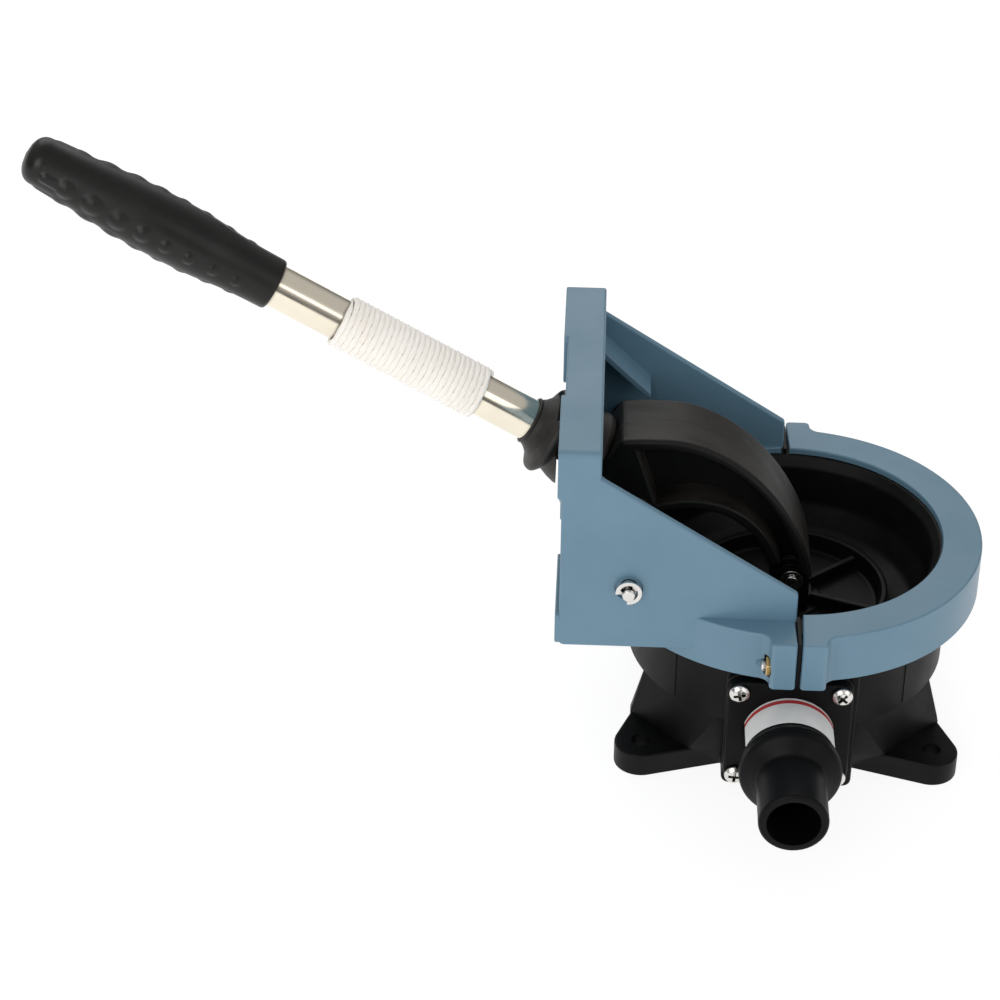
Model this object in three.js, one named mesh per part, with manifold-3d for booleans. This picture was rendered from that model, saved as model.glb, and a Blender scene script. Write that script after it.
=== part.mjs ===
// Manual diaphragm bilge pump: a moulded body with two hose tails, a clamp ring in two halves whose left
// half grows into a bulkhead bracket, and a lever with a tube handle that lifts a rubber diaphragm.
// Millimetres. +Z is up, the origin is on the pump's axis in the plane that the feet stand on, +X points away
// from the bulkhead and the outlet faces -Y.
import * as THREE from "three";
import { mergeVertices } from "three/addons/utils/BufferGeometryUtils.js";
import Module from "manifold-3d";

const wasm = await Module();
wasm.setup();

// ---- driving dimensions ----
const GAP = 0.3; // clearance between pieces that touch
const ROUND = 48; // sides of a large circle
const FINE = 16; // sides of a small circle
const SMALL = 8; // sides of a screw

// clamp ring
const CLAMP = { r: 72, mouth: 57.2, top: 77, bottom: 57.3, lip: 2.5, skirt: 4.6, split: 0.85, mouthSplit: 1.65 };
const LUG = { outer: 77.5, far: 10.3, holeY: 72.4, z: 64.5 };
const STUD = { r: 2.1, root: 2.9, rootStart: 3, left: -13.3, right: 8.5 };
const NUT = { r: 4.04, inner: -8.3, outer: -11.7, pocket: 4.4, pocketEnd: -12.3 };

// body
const BODY = { r: 60.7, chamber: 56.6, sump: 50, flange: 66, flangeTop: 69, flangeBottom: 59.5, waist: 27 };
const HULL = { x: 59, facet: 62.7, lowY: 48.4, midY: 51.8, topX: 54.5, topY: 54.5, steps: 4 };
const RECESS = { x: 53.5, y: 26, top: 26.2 };
const FOOT = { x: 55, y: 47.5, r: 10, top: 9.6, hole: 3.6 };
const FLOOR = 7;

// ports: the outlet is at -Y and the inlet at +Y
const PORT = { x: -1.3, z: 29.7, pad: 61, width: 46.4, height: 46.4, gasket: 1.6, plate: 4.6, spacing: 37.6 };
const PAD = { left: -24.6, right: 24.2, bottom: 0.8, top: 54.2 };
const TAIL = { neck: 16.8, bead: 18.9, spigot: 12.7, bore: 9.5, neckEnd: 85, beadEnd: 94, end: 119.5 };
const VALVE = { flap: 12.4, chest: 13.6, seat: 11, swing: 30 };
const SCREW = { shank: 1.9, head: 3.75, headHeight: 2.3, reach: 15, hole: 2.3 };
const LABEL = { inner: 17.1, outer: 17.4, arc: 2.5 };

// bracket
const PLATE = { out: -87, in: -73, skin: 4, wall: 3.5, half: 61.6, top: 145.6, bottom: 62.8 };
const CHEEK = { thick: 3, slopeTop: 134.8, slopeEnd: 88 };
const COLLAR = { z: 109.7, outer: 20.7, hole: 18.6 };
const MOUNT = { y: 48, low: 70.5, high: 134, r: 3.3, inner: 20, lowTop: 76.2, highBottom: 125, proud: 1.5 };
const RAMP = { top: 126, bottom: 108, right: -54.6, inner: 44, thick: 2.6 };

// lever
const PIVOT = { x: -62, z: 89, r: 3, boss: 10, counterbore: 5.2, recess: 1.2 };
const CLEVIS = { x: 0.5, z: 59.5, r: 2.6, eye: 7, half: 5.5 };
const ARM = { half: 15.5, web: 3, flange: 5, inner: 4 };
const HANDLE = { tilt: 30.1, offset: 8.7, face: 20, shank: 6.4, shankEnd: 62 };
const TUBE = { inner: 6.8, outer: 8, start: 31, end: 250 };
const WHIPPING = { start: 70.5, end: 130, outer: 10.1 };
const GRIP = { start: 157.5, end: 258, r: [10.2, 10.6, 12.0, 12.3, 11.8, 10.6, 9.6] };
const GAITER = { start: 20.6, end: 49.5 };

// diaphragm stack, by height
const STACK = { rimTop: 51.5, floorTop: 44.5, floor: 41.5, sheetTop: 41.2, sheet: 38.8, backTop: 38.5, back: 35.3 };
const DISC = { r: 38.5, rim: 2.5, back: 34, hub: 10, bolt: 4 };

// ---- solids ----
function solid(geometry) {
  const bare = geometry.index ? geometry.toNonIndexed() : geometry.clone();
  bare.deleteAttribute("normal");
  bare.deleteAttribute("uv");
  const merged = mergeVertices(bare, 1e-4);
  const vertProperties = merged.attributes.position.array;
  const triVerts = new Uint32Array(merged.index.array);
  return new wasm.Manifold(new wasm.Mesh({ numProp: 3, vertProperties, triVerts }));
}

function geometryOf(manifold) {
  const mesh = manifold.getMesh();
  const geometry = new THREE.BufferGeometry();
  geometry.setAttribute("position", new THREE.BufferAttribute(new Float32Array(mesh.vertProperties), 3));
  geometry.setIndex(new THREE.BufferAttribute(new Uint32Array(mesh.triVerts), 1));
  geometry.computeVertexNormals();
  return geometry;
}

function join(...solids) {
  return solids.reduce((sum, next) => sum.add(next));
}

function cut(from, ...tools) {
  return tools.reduce((left, tool) => left.subtract(tool), from);
}

function box(x0, x1, y0, y1, z0, z1) {
  const geometry = new THREE.BoxGeometry(x1 - x0, y1 - y0, z1 - z0);
  return solid(geometry.translate((x0 + x1) / 2, (y0 + y1) / 2, (z0 + z1) / 2));
}

// Cylinders along each axis, from a to b, about the point whose other two coordinates are given.
function rodX(r, a, b, y, z, sides = FINE) {
  const geometry = new THREE.CylinderGeometry(r, r, b - a, sides).rotateZ(Math.PI / 2);
  return solid(geometry.translate((a + b) / 2, y, z));
}

function rodY(r, a, b, x, z, sides = FINE) {
  return solid(new THREE.CylinderGeometry(r, r, b - a, sides).translate(x, (a + b) / 2, z));
}

function rodZ(r, a, b, x, y, sides = FINE) {
  const geometry = new THREE.CylinderGeometry(r, r, b - a, sides).rotateX(Math.PI / 2);
  return solid(geometry.translate(x, y, (a + b) / 2));
}

// A closed profile of [radius, height] points, anticlockwise, turned about Z.
function turned(profile, sides = ROUND) {
  const points = profile.map(([r, z]) => new THREE.Vector2(r, z));
  if (profile[0][0] > 0) points.push(points[0].clone());
  return new THREE.LatheGeometry(points, sides).rotateX(Math.PI / 2);
}

// An outline in the XZ plane, given as a THREE.Shape, with its thickness from y0 to y1.
function slabY(shape, y0, y1, segments = 12) {
  const geometry = new THREE.ExtrudeGeometry(shape, { depth: y1 - y0, bevelEnabled: false, curveSegments: segments });
  return solid(geometry.rotateX(Math.PI / 2).translate(0, y1, 0));
}

function outline(points) {
  return new THREE.Shape(points.map(([x, z]) => new THREE.Vector2(x, z)));
}

// A solid between two outlines of the same number of [x, y] corners, at heights z0 and z1.
function loft(lower, upper, z0, z1) {
  const n = lower.length;
  const corners = [...lower.map(([x, y]) => [x, y, z0]), ...upper.map(([x, y]) => [x, y, z1])];
  const faces = [];
  for (let i = 0; i < n; i++) {
    const j = (i + 1) % n;
    faces.push(i, j, n + j, i, n + j, n + i);
  }
  for (let i = 1; i < n - 1; i++) {
    faces.push(0, i + 1, i);
    faces.push(n, n + i, n + i + 1);
  }
  const geometry = new THREE.BufferGeometry();
  geometry.setAttribute("position", new THREE.Float32BufferAttribute(corners.flat(), 3));
  geometry.setIndex(faces);
  return solid(geometry);
}

// ---- materials ----
function plastic(color, roughness = 0.6) {
  return () => new THREE.MeshStandardMaterial({ color, roughness, metalness: 0 });
}

function metal(color, roughness = 0.3) {
  return () => new THREE.MeshStandardMaterial({ color, roughness, metalness: 1 });
}

const blue = plastic(0x6e91aa, 0.5);
const black = plastic(0x1b1b1c, 0.65);
const rubber = plastic(0x141414, 0.8);
const gripRubber = plastic(0x101010, 0.35);
const cordWhite = plastic(0xeeeeec, 0.9);
const labelWhite = plastic(0xf4f4f2, 0.5);
const steel = metal(0xc9c6c0);
const tubeMetal = metal(0xd2cdc2, 0.2);
const brass = metal(0xc8a04c, 0.35);

const pump = new THREE.Group();

function place(name, shape, material, parent = pump) {
  const geometry = shape.isBufferGeometry ? shape : geometryOf(shape);
  const mesh = new THREE.Mesh(geometry, material());
  mesh.name = name;
  parent.add(mesh);
}

// ---- clamp ring, split in two at x = 0 ----
function clampRing() {
  const { r, mouth, top, bottom, lip, skirt } = CLAMP;
  const wall = r - skirt;
  const ledge = bottom + 1.8;
  return solid(turned([
    [mouth, top - lip],
    [wall, top - lip],
    [wall, ledge],
    [BODY.r + 0.8, ledge],
    [BODY.r + 0.8, bottom],
    [r, bottom],
    [r, top],
    [mouth, top],
  ]));
}

// A lug of the clamp, with the web that blends it into the ring's wall.
function lug(side, end) {
  const [x0, x1] = side < 0 ? [-LUG.far, -CLAMP.split] : [CLAMP.split, LUG.far];
  const [y0, y1] = end < 0 ? [-LUG.outer, -CLAMP.r + CLAMP.skirt] : [CLAMP.r - CLAMP.skirt, LUG.outer];
  const web = [
    [LUG.far - 1, 69.5],
    [LUG.far + 5.7, 69.5],
    [LUG.far + 5, 70.6],
    [LUG.far + 1.7, 72.4],
    [LUG.far, 76],
    [LUG.far - 1, 76],
  ].map(([x, y]) => [side * x, end * y]);
  const corners = side * end > 0 ? web : web.reverse();
  return join(box(x0, x1, y0, y1, CLAMP.bottom, CLAMP.top), loft(corners, corners, CLAMP.bottom, CLAMP.top));
}

// The gap between the two halves is wider at the ring's mouth than at the tips of the lugs.
function splitWedge(end) {
  const corners = [
    [-CLAMP.mouthSplit, end * CLAMP.mouth],
    [CLAMP.mouthSplit, end * CLAMP.mouth],
    [CLAMP.split, end * LUG.outer],
    [-CLAMP.split, end * LUG.outer],
  ];
  const loop = end > 0 ? corners : corners.reverse();
  return loft(loop, loop, 0, 200);
}

function halfOf(ring, side) {
  const reach = 200;
  const keep = side < 0 ? box(-reach, -CLAMP.split, -reach, reach, 0, reach)
    : box(CLAMP.split, reach, -reach, reach, 0, reach);
  return ring.intersect(keep);
}

// The stud stands in a blind hole in the right lug and its nut sits in a pocket in the left one.
function studHole(end) {
  return rodX(STUD.root + 0.05, 0, STUD.right + GAP, end * LUG.holeY, LUG.z, SMALL);
}

function nutPocket(end) {
  const hole = rodX(STUD.r + GAP, -15, 0, end * LUG.holeY, LUG.z, SMALL);
  return join(hole, rodX(NUT.pocket, NUT.pocketEnd, NUT.inner + GAP, end * LUG.holeY, LUG.z));
}

function clampHalf() {
  const half = join(halfOf(clampRing(), 1), lug(1, -1), lug(1, 1));
  return cut(half, splitWedge(-1), splitWedge(1), studHole(-1), studHole(1));
}

// ---- bracket: the left clamp half, two cheeks, a floor and the bulkhead plate ----
function cheek(side) {
  const shape = outline([
    [PLATE.out, PLATE.bottom],
    [-40, PLATE.bottom],
    [-CLAMP.split - 4, CLAMP.top - 4],
    [-CLAMP.split, CLAMP.top - 1],
    [-CLAMP.split, CHEEK.slopeEnd],
    [PLATE.in, CHEEK.slopeTop],
    [PLATE.out, CHEEK.slopeTop],
  ]);
  const inner = PLATE.half - CHEEK.thick;
  return side < 0 ? slabY(shape, -PLATE.half, -inner) : slabY(shape, inner, PLATE.half);
}

function bulkheadPlate() {
  const { out, skin, half, top, bottom, wall } = PLATE;
  const shell = box(out, PLATE.in, -half, half, bottom, top);
  const hollow = box(out + skin, PLATE.in + 1, -half + CHEEK.thick, half - CHEEK.thick, bottom + wall, top - wall);
  const face = out - MOUNT.proud;
  const pads = [];
  const holes = [];
  for (const side of [-1, 1]) {
    const [y0, y1] = side < 0 ? [-half, -MOUNT.inner] : [MOUNT.inner, half];
    pads.push(box(face, out + skin, y0, y1, bottom, MOUNT.lowTop), box(face, out + skin, y0, y1, MOUNT.highBottom, top));
    holes.push(rodX(MOUNT.r, out - 10, out + 10, side * MOUNT.y, MOUNT.low, SMALL));
    holes.push(rodX(MOUNT.r, out - 10, out + 10, side * MOUNT.y, MOUNT.high, SMALL));
  }
  const collar = rodX(COLLAR.outer, face, out + skin, 0, COLLAR.z, ROUND / 2);
  const opening = rodX(COLLAR.hole, out - 10, out + 10, 0, COLLAR.z, ROUND / 2);
  return cut(join(cut(shell, hollow), collar, ...pads), opening, ...holes);
}

function bracketFloor() {
  const slab = box(PLATE.out + 1, -30, -PLATE.half + 1, PLATE.half - 1, PLATE.bottom, PLATE.bottom + PLATE.wall);
  return cut(slab, rodZ(CLAMP.r - 1, 0, 100, 0, 0, ROUND));
}

function ramp(side) {
  const depth = PLATE.out + PLATE.skin - 1;
  const slope = (RAMP.top - RAMP.bottom) / (RAMP.right - PLATE.in);
  const rise = slope * (PLATE.in - depth);
  const shape = outline([
    [depth, RAMP.top + rise],
    [depth, RAMP.top + rise - 1.4 * RAMP.thick],
    [RAMP.right, RAMP.bottom - 1.4 * RAMP.thick],
    [RAMP.right, RAMP.bottom],
  ]);
  const outer = PLATE.half - 1;
  return side < 0 ? slabY(shape, -outer, -RAMP.inner) : slabY(shape, RAMP.inner, outer);
}

function bracket() {
  const ring = join(halfOf(clampRing(), -1), lug(-1, -1), lug(-1, 1));
  const mouth = rodZ(CLAMP.mouth, CLAMP.bottom - 1, CLAMP.top + 1, 0, 0, ROUND);
  const grown = join(cut(cheek(-1), mouth), cut(cheek(1), mouth), bulkheadPlate(), bracketFloor(), ramp(-1), ramp(1));
  const seat = turned([
    [0, CLAMP.bottom - 1],
    [BODY.r + 0.8, CLAMP.bottom - 1],
    [BODY.r + 0.8, CLAMP.bottom + 1.8],
    [CLAMP.r - CLAMP.skirt, CLAMP.bottom + 1.8],
    [CLAMP.r - CLAMP.skirt, CLAMP.top - CLAMP.lip],
    [0, CLAMP.top - CLAMP.lip],
  ]);
  const whole = join(ring, cut(grown, solid(seat)));
  const pinHole = rodY(PIVOT.r + GAP, -70, 70, PIVOT.x, PIVOT.z);
  const recess = PLATE.half - PIVOT.recess;
  const recesses = [rodY(PIVOT.counterbore, -70, -recess, PIVOT.x, PIVOT.z), rodY(PIVOT.counterbore, recess, 70, PIVOT.x, PIVOT.z)];
  return cut(whole, pinHole, ...recesses, splitWedge(-1), splitWedge(1), nutPocket(-1), nutPocket(1));
}

// ---- body ----
// One corner of the hull seen from above: a chamfer low down, and the barrel's own circle at the top.
function chamferCorner(y) {
  const far = HULL.facet * Math.SQRT2;
  const reach = far - HULL.x - y;
  return hullSteps().map((t) => [HULL.x + reach * t, far - HULL.x - reach * t]);
}

function circleCorner() {
  const start = Math.acos(HULL.topX / BODY.r);
  const sweep = Math.asin(HULL.topY / BODY.r) - start;
  return hullSteps().map((t) => [BODY.r * Math.cos(start + sweep * t), BODY.r * Math.sin(start + sweep * t)]);
}

function hullSteps() {
  return Array.from({ length: HULL.steps + 1 }, (_, i) => i / HULL.steps);
}

function fourCorners(corner) {
  const mirrored = [...corner].reverse().map(([x, y]) => [-x, y]);
  const half = [...corner, ...mirrored];
  return [...half, ...half.map(([x, y]) => [-x, -y])];
}

function foot(sx, sy) {
  const tip = rodZ(FOOT.r, 0, FOOT.top, sx * FOOT.x, sy * FOOT.y);
  const root = [
    [sx * 25, sy * HULL.lowY],
    [sx * (FOOT.x - 3), sy * (FOOT.y + 9.5)],
    [sx * (FOOT.x + 9.5), sy * (FOOT.y - 3)],
    [sx * 57, sy * 25],
  ];
  const corners = sx * sy < 0 ? root : root.reverse();
  return join(tip, loft(corners, corners, 0, FOOT.top));
}

function footHole(sx, sy) {
  return rodZ(FOOT.hole, -1, FOOT.top + 1, sx * FOOT.x, sy * FOOT.y);
}

function eachCorner(make) {
  return [[-1, -1], [1, -1], [1, 1], [-1, 1]].map(([sx, sy]) => make(sx, sy));
}

function pad(side) {
  const [y0, y1] = side < 0 ? [-PORT.pad, -40] : [40, PORT.pad];
  return box(PAD.left, PAD.right, y0, y1, PAD.bottom, PAD.top);
}

function portBlock(y0, y1) {
  const [x, z] = [PORT.width / 2, PORT.height / 2];
  return box(PORT.x - x, PORT.x + x, y0, y1, PORT.z - z, PORT.z + z);
}

function portScrewPlaces() {
  const half = PORT.spacing / 2;
  return [[-half, half], [half, half], [-half, -half], [half, -half]].map(([x, z]) => [PORT.x + x, PORT.z + z]);
}

function screwHoles(side, from, to) {
  const [y0, y1] = side < 0 ? [-to, -from] : [from, to];
  return portScrewPlaces().map(([x, z]) => rodY(SCREW.hole, y0, y1, x, z, SMALL));
}

// The hull is hollowed between the feet on each side.
function sideRecess(side) {
  const [x0, x1] = side < 0 ? [-80, -RECESS.x] : [RECESS.x, 80];
  return box(x0, x1, -RECESS.y, RECESS.y, -1, RECESS.top);
}

function pumpBody() {
  const low = fourCorners(chamferCorner(HULL.lowY));
  const middle = fourCorners(chamferCorner(HULL.midY));
  const high = fourCorners(circleCorner());
  const hull = join(loft(low, middle, 0, FOOT.top), loft(middle, high, FOOT.top, BODY.waist));
  const barrel = solid(turned([
    [0, BODY.waist - 0.3],
    [BODY.r, BODY.waist - 0.3],
    [BODY.r, BODY.flangeBottom],
    [BODY.flange, BODY.flangeBottom],
    [BODY.flange, BODY.flangeTop],
    [0, BODY.flangeTop],
  ]));
  const chamber = solid(turned([
    [0, FLOOR],
    [BODY.sump - 8, FLOOR],
    [BODY.sump, FLOOR + 8],
    [BODY.sump, BODY.waist + 8],
    [BODY.chamber, BODY.waist + 18],
    [BODY.chamber, BODY.flangeTop + 1],
    [0, BODY.flangeTop + 1],
  ]));
  const core = cut(hull, sideRecess(-1), sideRecess(1));
  const outer = join(core, barrel, pad(-1), pad(1), ...eachCorner(foot));
  const outletPort = rodY(VALVE.seat, -PORT.pad - 1, -30, PORT.x, PORT.z);
  const inletPort = rodY(VALVE.chest, 30, PORT.pad + 1, PORT.x, PORT.z);
  const pilots = [...screwHoles(-1, 52, PORT.pad + 1), ...screwHoles(1, 52, PORT.pad + 1)];
  return cut(outer, chamber, outletPort, inletPort, ...pilots, ...eachCorner(footHole));
}

// ---- hose tails, with the valve between each tail and the body ----
function alongY(profile, side, sides = 32) {
  const geometry = turned(profile, sides).rotateX(side < 0 ? Math.PI / 2 : -Math.PI / 2);
  return solid(geometry.translate(PORT.x, 0, PORT.z));
}

const GASKET_Y = PORT.pad + GAP;
const TAIL_Y = GASKET_Y + PORT.gasket + GAP;
const TAIL_FACE_Y = TAIL_Y + PORT.plate;

function portPlate(side, from, to) {
  const [y0, y1] = side < 0 ? [-to, -from] : [from, to];
  return portBlock(y0, y1);
}

function hoseTail(side) {
  const chestEnd = side < 0 ? TAIL.neckEnd : TAIL_Y + 1;
  const chest = side < 0 ? VALVE.chest : TAIL.bore;
  const stem = alongY([
    [0, TAIL_FACE_Y - 1],
    [TAIL.neck, TAIL_FACE_Y - 1],
    [TAIL.neck, TAIL.neckEnd],
    [TAIL.bead, TAIL.neckEnd + 2],
    [TAIL.bead, TAIL.beadEnd - 3.5],
    [TAIL.neck, TAIL.beadEnd],
    [TAIL.spigot, TAIL.beadEnd],
    [TAIL.spigot, TAIL.end - 1.2],
    [TAIL.spigot - 1, TAIL.end],
    [0, TAIL.end],
  ], side);
  const bore = alongY([
    [0, TAIL_Y - 1],
    [chest, TAIL_Y - 1],
    [chest, chestEnd],
    [TAIL.bore, chestEnd + 4],
    [TAIL.bore, TAIL.end + 1],
    [0, TAIL.end + 1],
  ], side);
  const plate = portPlate(side, TAIL_Y, TAIL_FACE_Y);
  return cut(join(plate, stem), bore, ...screwHoles(side, TAIL_Y - 1, TAIL_FACE_Y + 1));
}

function gasket(side) {
  const plate = portPlate(side, GASKET_Y, GASKET_Y + PORT.gasket);
  const window = rodY(VALVE.chest, -80, 80, PORT.x, PORT.z);
  return cut(plate, window, ...screwHoles(side, GASKET_Y - 1, GASKET_Y + PORT.gasket + 1));
}

function flap(side) {
  const [y0, y1] = side < 0 ? [-GASKET_Y - PORT.gasket, -GASKET_Y] : [GASKET_Y, GASKET_Y + PORT.gasket];
  return rodY(VALVE.flap, y0, y1, PORT.x, PORT.z);
}

function portScrew() {
  return turned([
    [0, -SCREW.reach],
    [SCREW.shank, -SCREW.reach],
    [SCREW.shank, 0],
    [SCREW.head, 0],
    [SCREW.head, SCREW.headHeight * 0.5],
    [SCREW.head * 0.65, SCREW.headHeight],
    [0, SCREW.headHeight],
  ], SMALL);
}

function label() {
  const length = TAIL.neckEnd - TAIL_FACE_Y - 2 * GAP;
  const shape = new THREE.Shape();
  const from = Math.PI / 2 - LABEL.arc / 2;
  const to = Math.PI / 2 + LABEL.arc / 2;
  shape.absarc(0, 0, LABEL.outer, from, to, false);
  shape.absarc(0, 0, LABEL.inner, to, from, true);
  const geometry = new THREE.ExtrudeGeometry(shape, { depth: length, bevelEnabled: false, curveSegments: 16 });
  return geometry.rotateX(Math.PI / 2).translate(PORT.x, -TAIL_FACE_Y - GAP, PORT.z);
}

// ---- clamp studs and nuts ----
function clampStud(end) {
  const y = end * LUG.holeY;
  const root = rodX(STUD.root, STUD.rootStart, STUD.right, y, LUG.z, SMALL);
  return join(root, rodX(STUD.r, STUD.left, STUD.right - 1, y, LUG.z, SMALL));
}

function clampNut(end) {
  const y = end * LUG.holeY;
  const hex = rodX(NUT.r, NUT.outer, NUT.inner, y, LUG.z, 6);
  return cut(hex, rodX(STUD.r + 0.1, NUT.outer - 5, NUT.inner + 5, y, LUG.z, SMALL));
}

// ---- diaphragm and its plates ----
function diaphragm() {
  const seatTop = CLAMP.top - CLAMP.lip - GAP;
  const seat = BODY.flangeTop + GAP;
  return turned([
    [DISC.bolt + 0.6, STACK.sheet],
    [DISC.r, STACK.sheet],
    [50, STACK.sheet + 4.5],
    [56, STACK.sheet + 15],
    [56.2, seat],
    [CLAMP.r - CLAMP.skirt - 1, seat],
    [CLAMP.r - CLAMP.skirt - 1, seatTop],
    [CLAMP.mouth - 0.6, seatTop],
    [53.8, seatTop - 4],
    [53.6, STACK.sheet + 16],
    [48.4, STACK.sheet + 7],
    [DISC.r, STACK.sheetTop],
    [DISC.bolt + 0.6, STACK.sheetTop],
  ]);
}

const LUG_IN = CLEVIS.half + 0.5;
const LUG_OUT = LUG_IN + 3.6;

function drivePlate() {
  const dish = solid(turned([
    [0, STACK.floor],
    [DISC.r, STACK.floor],
    [DISC.r, STACK.rimTop],
    [DISC.r - DISC.rim, STACK.rimTop],
    [DISC.r - DISC.rim - 1, STACK.floorTop],
    [0, STACK.floorTop],
  ]));
  const ribs = [];
  for (let i = 0; i < 3; i++) {
    const rib = new THREE.BoxGeometry(2 * DISC.r - 3, 2.4, 5.5);
    rib.rotateZ(THREE.MathUtils.degToRad(-20 + 60 * i)).translate(0, 0, STACK.floorTop + 2.2);
    ribs.push(solid(rib));
  }
  const hub = rodZ(DISC.hub, STACK.floor, STACK.floorTop + 5, 0, 0);
  const ears = [];
  for (const side of [-1, 1]) {
    const ear = new THREE.Shape();
    ear.moveTo(CLEVIS.x - CLEVIS.eye, STACK.floorTop);
    ear.lineTo(CLEVIS.x + CLEVIS.eye, STACK.floorTop);
    ear.lineTo(CLEVIS.x + CLEVIS.eye, CLEVIS.z);
    ear.absarc(CLEVIS.x, CLEVIS.z, CLEVIS.eye, 0, Math.PI, false);
    ears.push(side < 0 ? slabY(ear, -LUG_OUT, -LUG_IN) : slabY(ear, LUG_IN, LUG_OUT));
  }
  const clearEye = rodY(CLEVIS.eye + 1.2, -LUG_IN, LUG_IN, CLEVIS.x, CLEVIS.z);
  const pinHole = rodY(CLEVIS.r + GAP, -20, 20, CLEVIS.x, CLEVIS.z);
  const boltHole = rodZ(DISC.bolt + GAP, 0, STACK.floorTop + 10, 0, 0);
  return cut(join(dish, ...ribs, hub, ...ears), clearEye, pinHole, boltHole);
}

function backingPlate() {
  const plate = turned([
    [DISC.bolt + GAP, STACK.back],
    [DISC.back - 2, STACK.back],
    [DISC.back, STACK.back + 1.4],
    [DISC.back, STACK.backTop],
    [DISC.bolt + GAP, STACK.backTop],
  ], 32);
  return plate;
}

const BOLT_HEAD = 2.2;

function centreBolt() {
  const head = rodZ(DISC.bolt + 3, STACK.back - GAP - BOLT_HEAD, STACK.back - GAP, 0, 0);
  return join(head, rodZ(DISC.bolt, STACK.back - 1, STACK.floorTop + 4.4, 0, 0));
}

// ---- lever ----
function armOuter() {
  return { start: [-66, 122.5], knee: [-50, 123.2], a: [-18, 123.2], b: [7, 85], end: [8, 62] };
}

function outerBand(shape, depth) {
  const { start, knee, a, b, end } = armOuter();
  shape.moveTo(...start);
  shape.lineTo(...knee);
  shape.bezierCurveTo(...a, ...b, ...end);
  shape.lineTo(end[0] - depth, end[1]);
  shape.bezierCurveTo(b[0] - depth, b[1] - 1, a[0] - depth / 3, a[1] - depth, knee[0], knee[1] - depth);
  shape.lineTo(start[0], start[1] - depth);
  return shape;
}

function innerBand(shape) {
  const d = ARM.inner;
  shape.moveTo(-56, 93);
  shape.bezierCurveTo(-38, 103, -12, 97, -4.5, 70);
  shape.lineTo(-4.5 - d, 69);
  shape.bezierCurveTo(-12 - d, 97 - d, -38, 103 - d, -56, 93 - d);
  return shape;
}

function web() {
  const { start, knee, a, b, end } = armOuter();
  const shape = new THREE.Shape();
  shape.moveTo(...start);
  shape.lineTo(...knee);
  shape.bezierCurveTo(...a, ...b, ...end);
  shape.lineTo(CLEVIS.x + CLEVIS.eye, CLEVIS.z);
  shape.lineTo(CLEVIS.x - CLEVIS.eye, CLEVIS.z);
  shape.lineTo(-8, 69);
  shape.bezierCurveTo(-16, 94, -38, 99, -56, 89);
  return shape;
}

// The handle's frame: local Z runs from the pivot's height out along the tube.
const handle = new THREE.Group();
handle.position.set(PIVOT.x, 0, PIVOT.z);
handle.rotation.y = THREE.MathUtils.degToRad(HANDLE.tilt - 90);
handle.updateMatrixWorld(true);

function onHandle(geometry) {
  return solid(geometry.clone().translate(HANDLE.offset, 0, 0).applyMatrix4(handle.matrixWorld));
}

function leverArm() {
  const outer = slabY(outerBand(new THREE.Shape(), ARM.flange), -ARM.half, ARM.half);
  const inner = slabY(innerBand(new THREE.Shape()), -ARM.half, ARM.half);
  const middle = slabY(web(), -ARM.web, ARM.web);
  const socket = slabY(outline([
    [-66, 122.5],
    [-74.5, 107.8],
    [-72, 88],
    [-56, 82],
    [-52, 95],
    [-61, 122.5],
  ]), -ARM.half, ARM.half);
  const boss = rodY(PIVOT.boss, -ARM.half - 2, ARM.half + 2, PIVOT.x, PIVOT.z);
  const eye = rodY(CLEVIS.eye, -CLEVIS.half, CLEVIS.half, CLEVIS.x, CLEVIS.z);
  const shankLength = HANDLE.shankEnd - 8;
  const shank = onHandle(new THREE.CylinderGeometry(HANDLE.shank, HANDLE.shank, shankLength, FINE)
    .rotateX(Math.PI / 2).translate(0, 0, 8 + shankLength / 2));
  const earRoom = [-1, 1].map((side) => {
    const [y0, y1] = side < 0 ? [-30, -LUG_IN + 0.5] : [LUG_IN - 0.5, 30];
    return rodY(CLEVIS.eye + 1.3, y0, y1, CLEVIS.x, CLEVIS.z);
  });
  const pinHoles = [
    rodY(PIVOT.r + GAP, -30, 30, PIVOT.x, PIVOT.z),
    rodY(CLEVIS.r + GAP, -30, 30, CLEVIS.x, CLEVIS.z, SMALL),
  ];
  return cut(join(outer, inner, middle, socket, boss, eye, shank), ...earRoom, ...pinHoles);
}

const CLIP = { outer: 4.8, seat: 2.1, window: 1.3, thick: 0.9, y: PLATE.half + 2.6 };
const PIN = { end: PLATE.half + 5.5, tip: 2.3, groove: 1.9 };
const SPACER = 7.5;

function clipSpan(side, slack) {
  const near = CLIP.y - slack;
  const far = CLIP.y + CLIP.thick + slack;
  return side < 0 ? [-far, -near] : [near, far];
}

function pivotPin() {
  const shoulder = CLIP.y - GAP;
  const neck = CLIP.y + CLIP.thick + GAP;
  const core = rodY(PIVOT.r, -shoulder, shoulder, PIVOT.x, PIVOT.z);
  const groove = rodY(PIN.groove, -neck - 1, neck + 1, PIVOT.x, PIVOT.z);
  const tips = [rodY(PIN.tip, -PIN.end, -neck, PIVOT.x, PIVOT.z), rodY(PIN.tip, neck, PIN.end, PIVOT.x, PIVOT.z)];
  return join(core, groove, ...tips);
}

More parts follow.
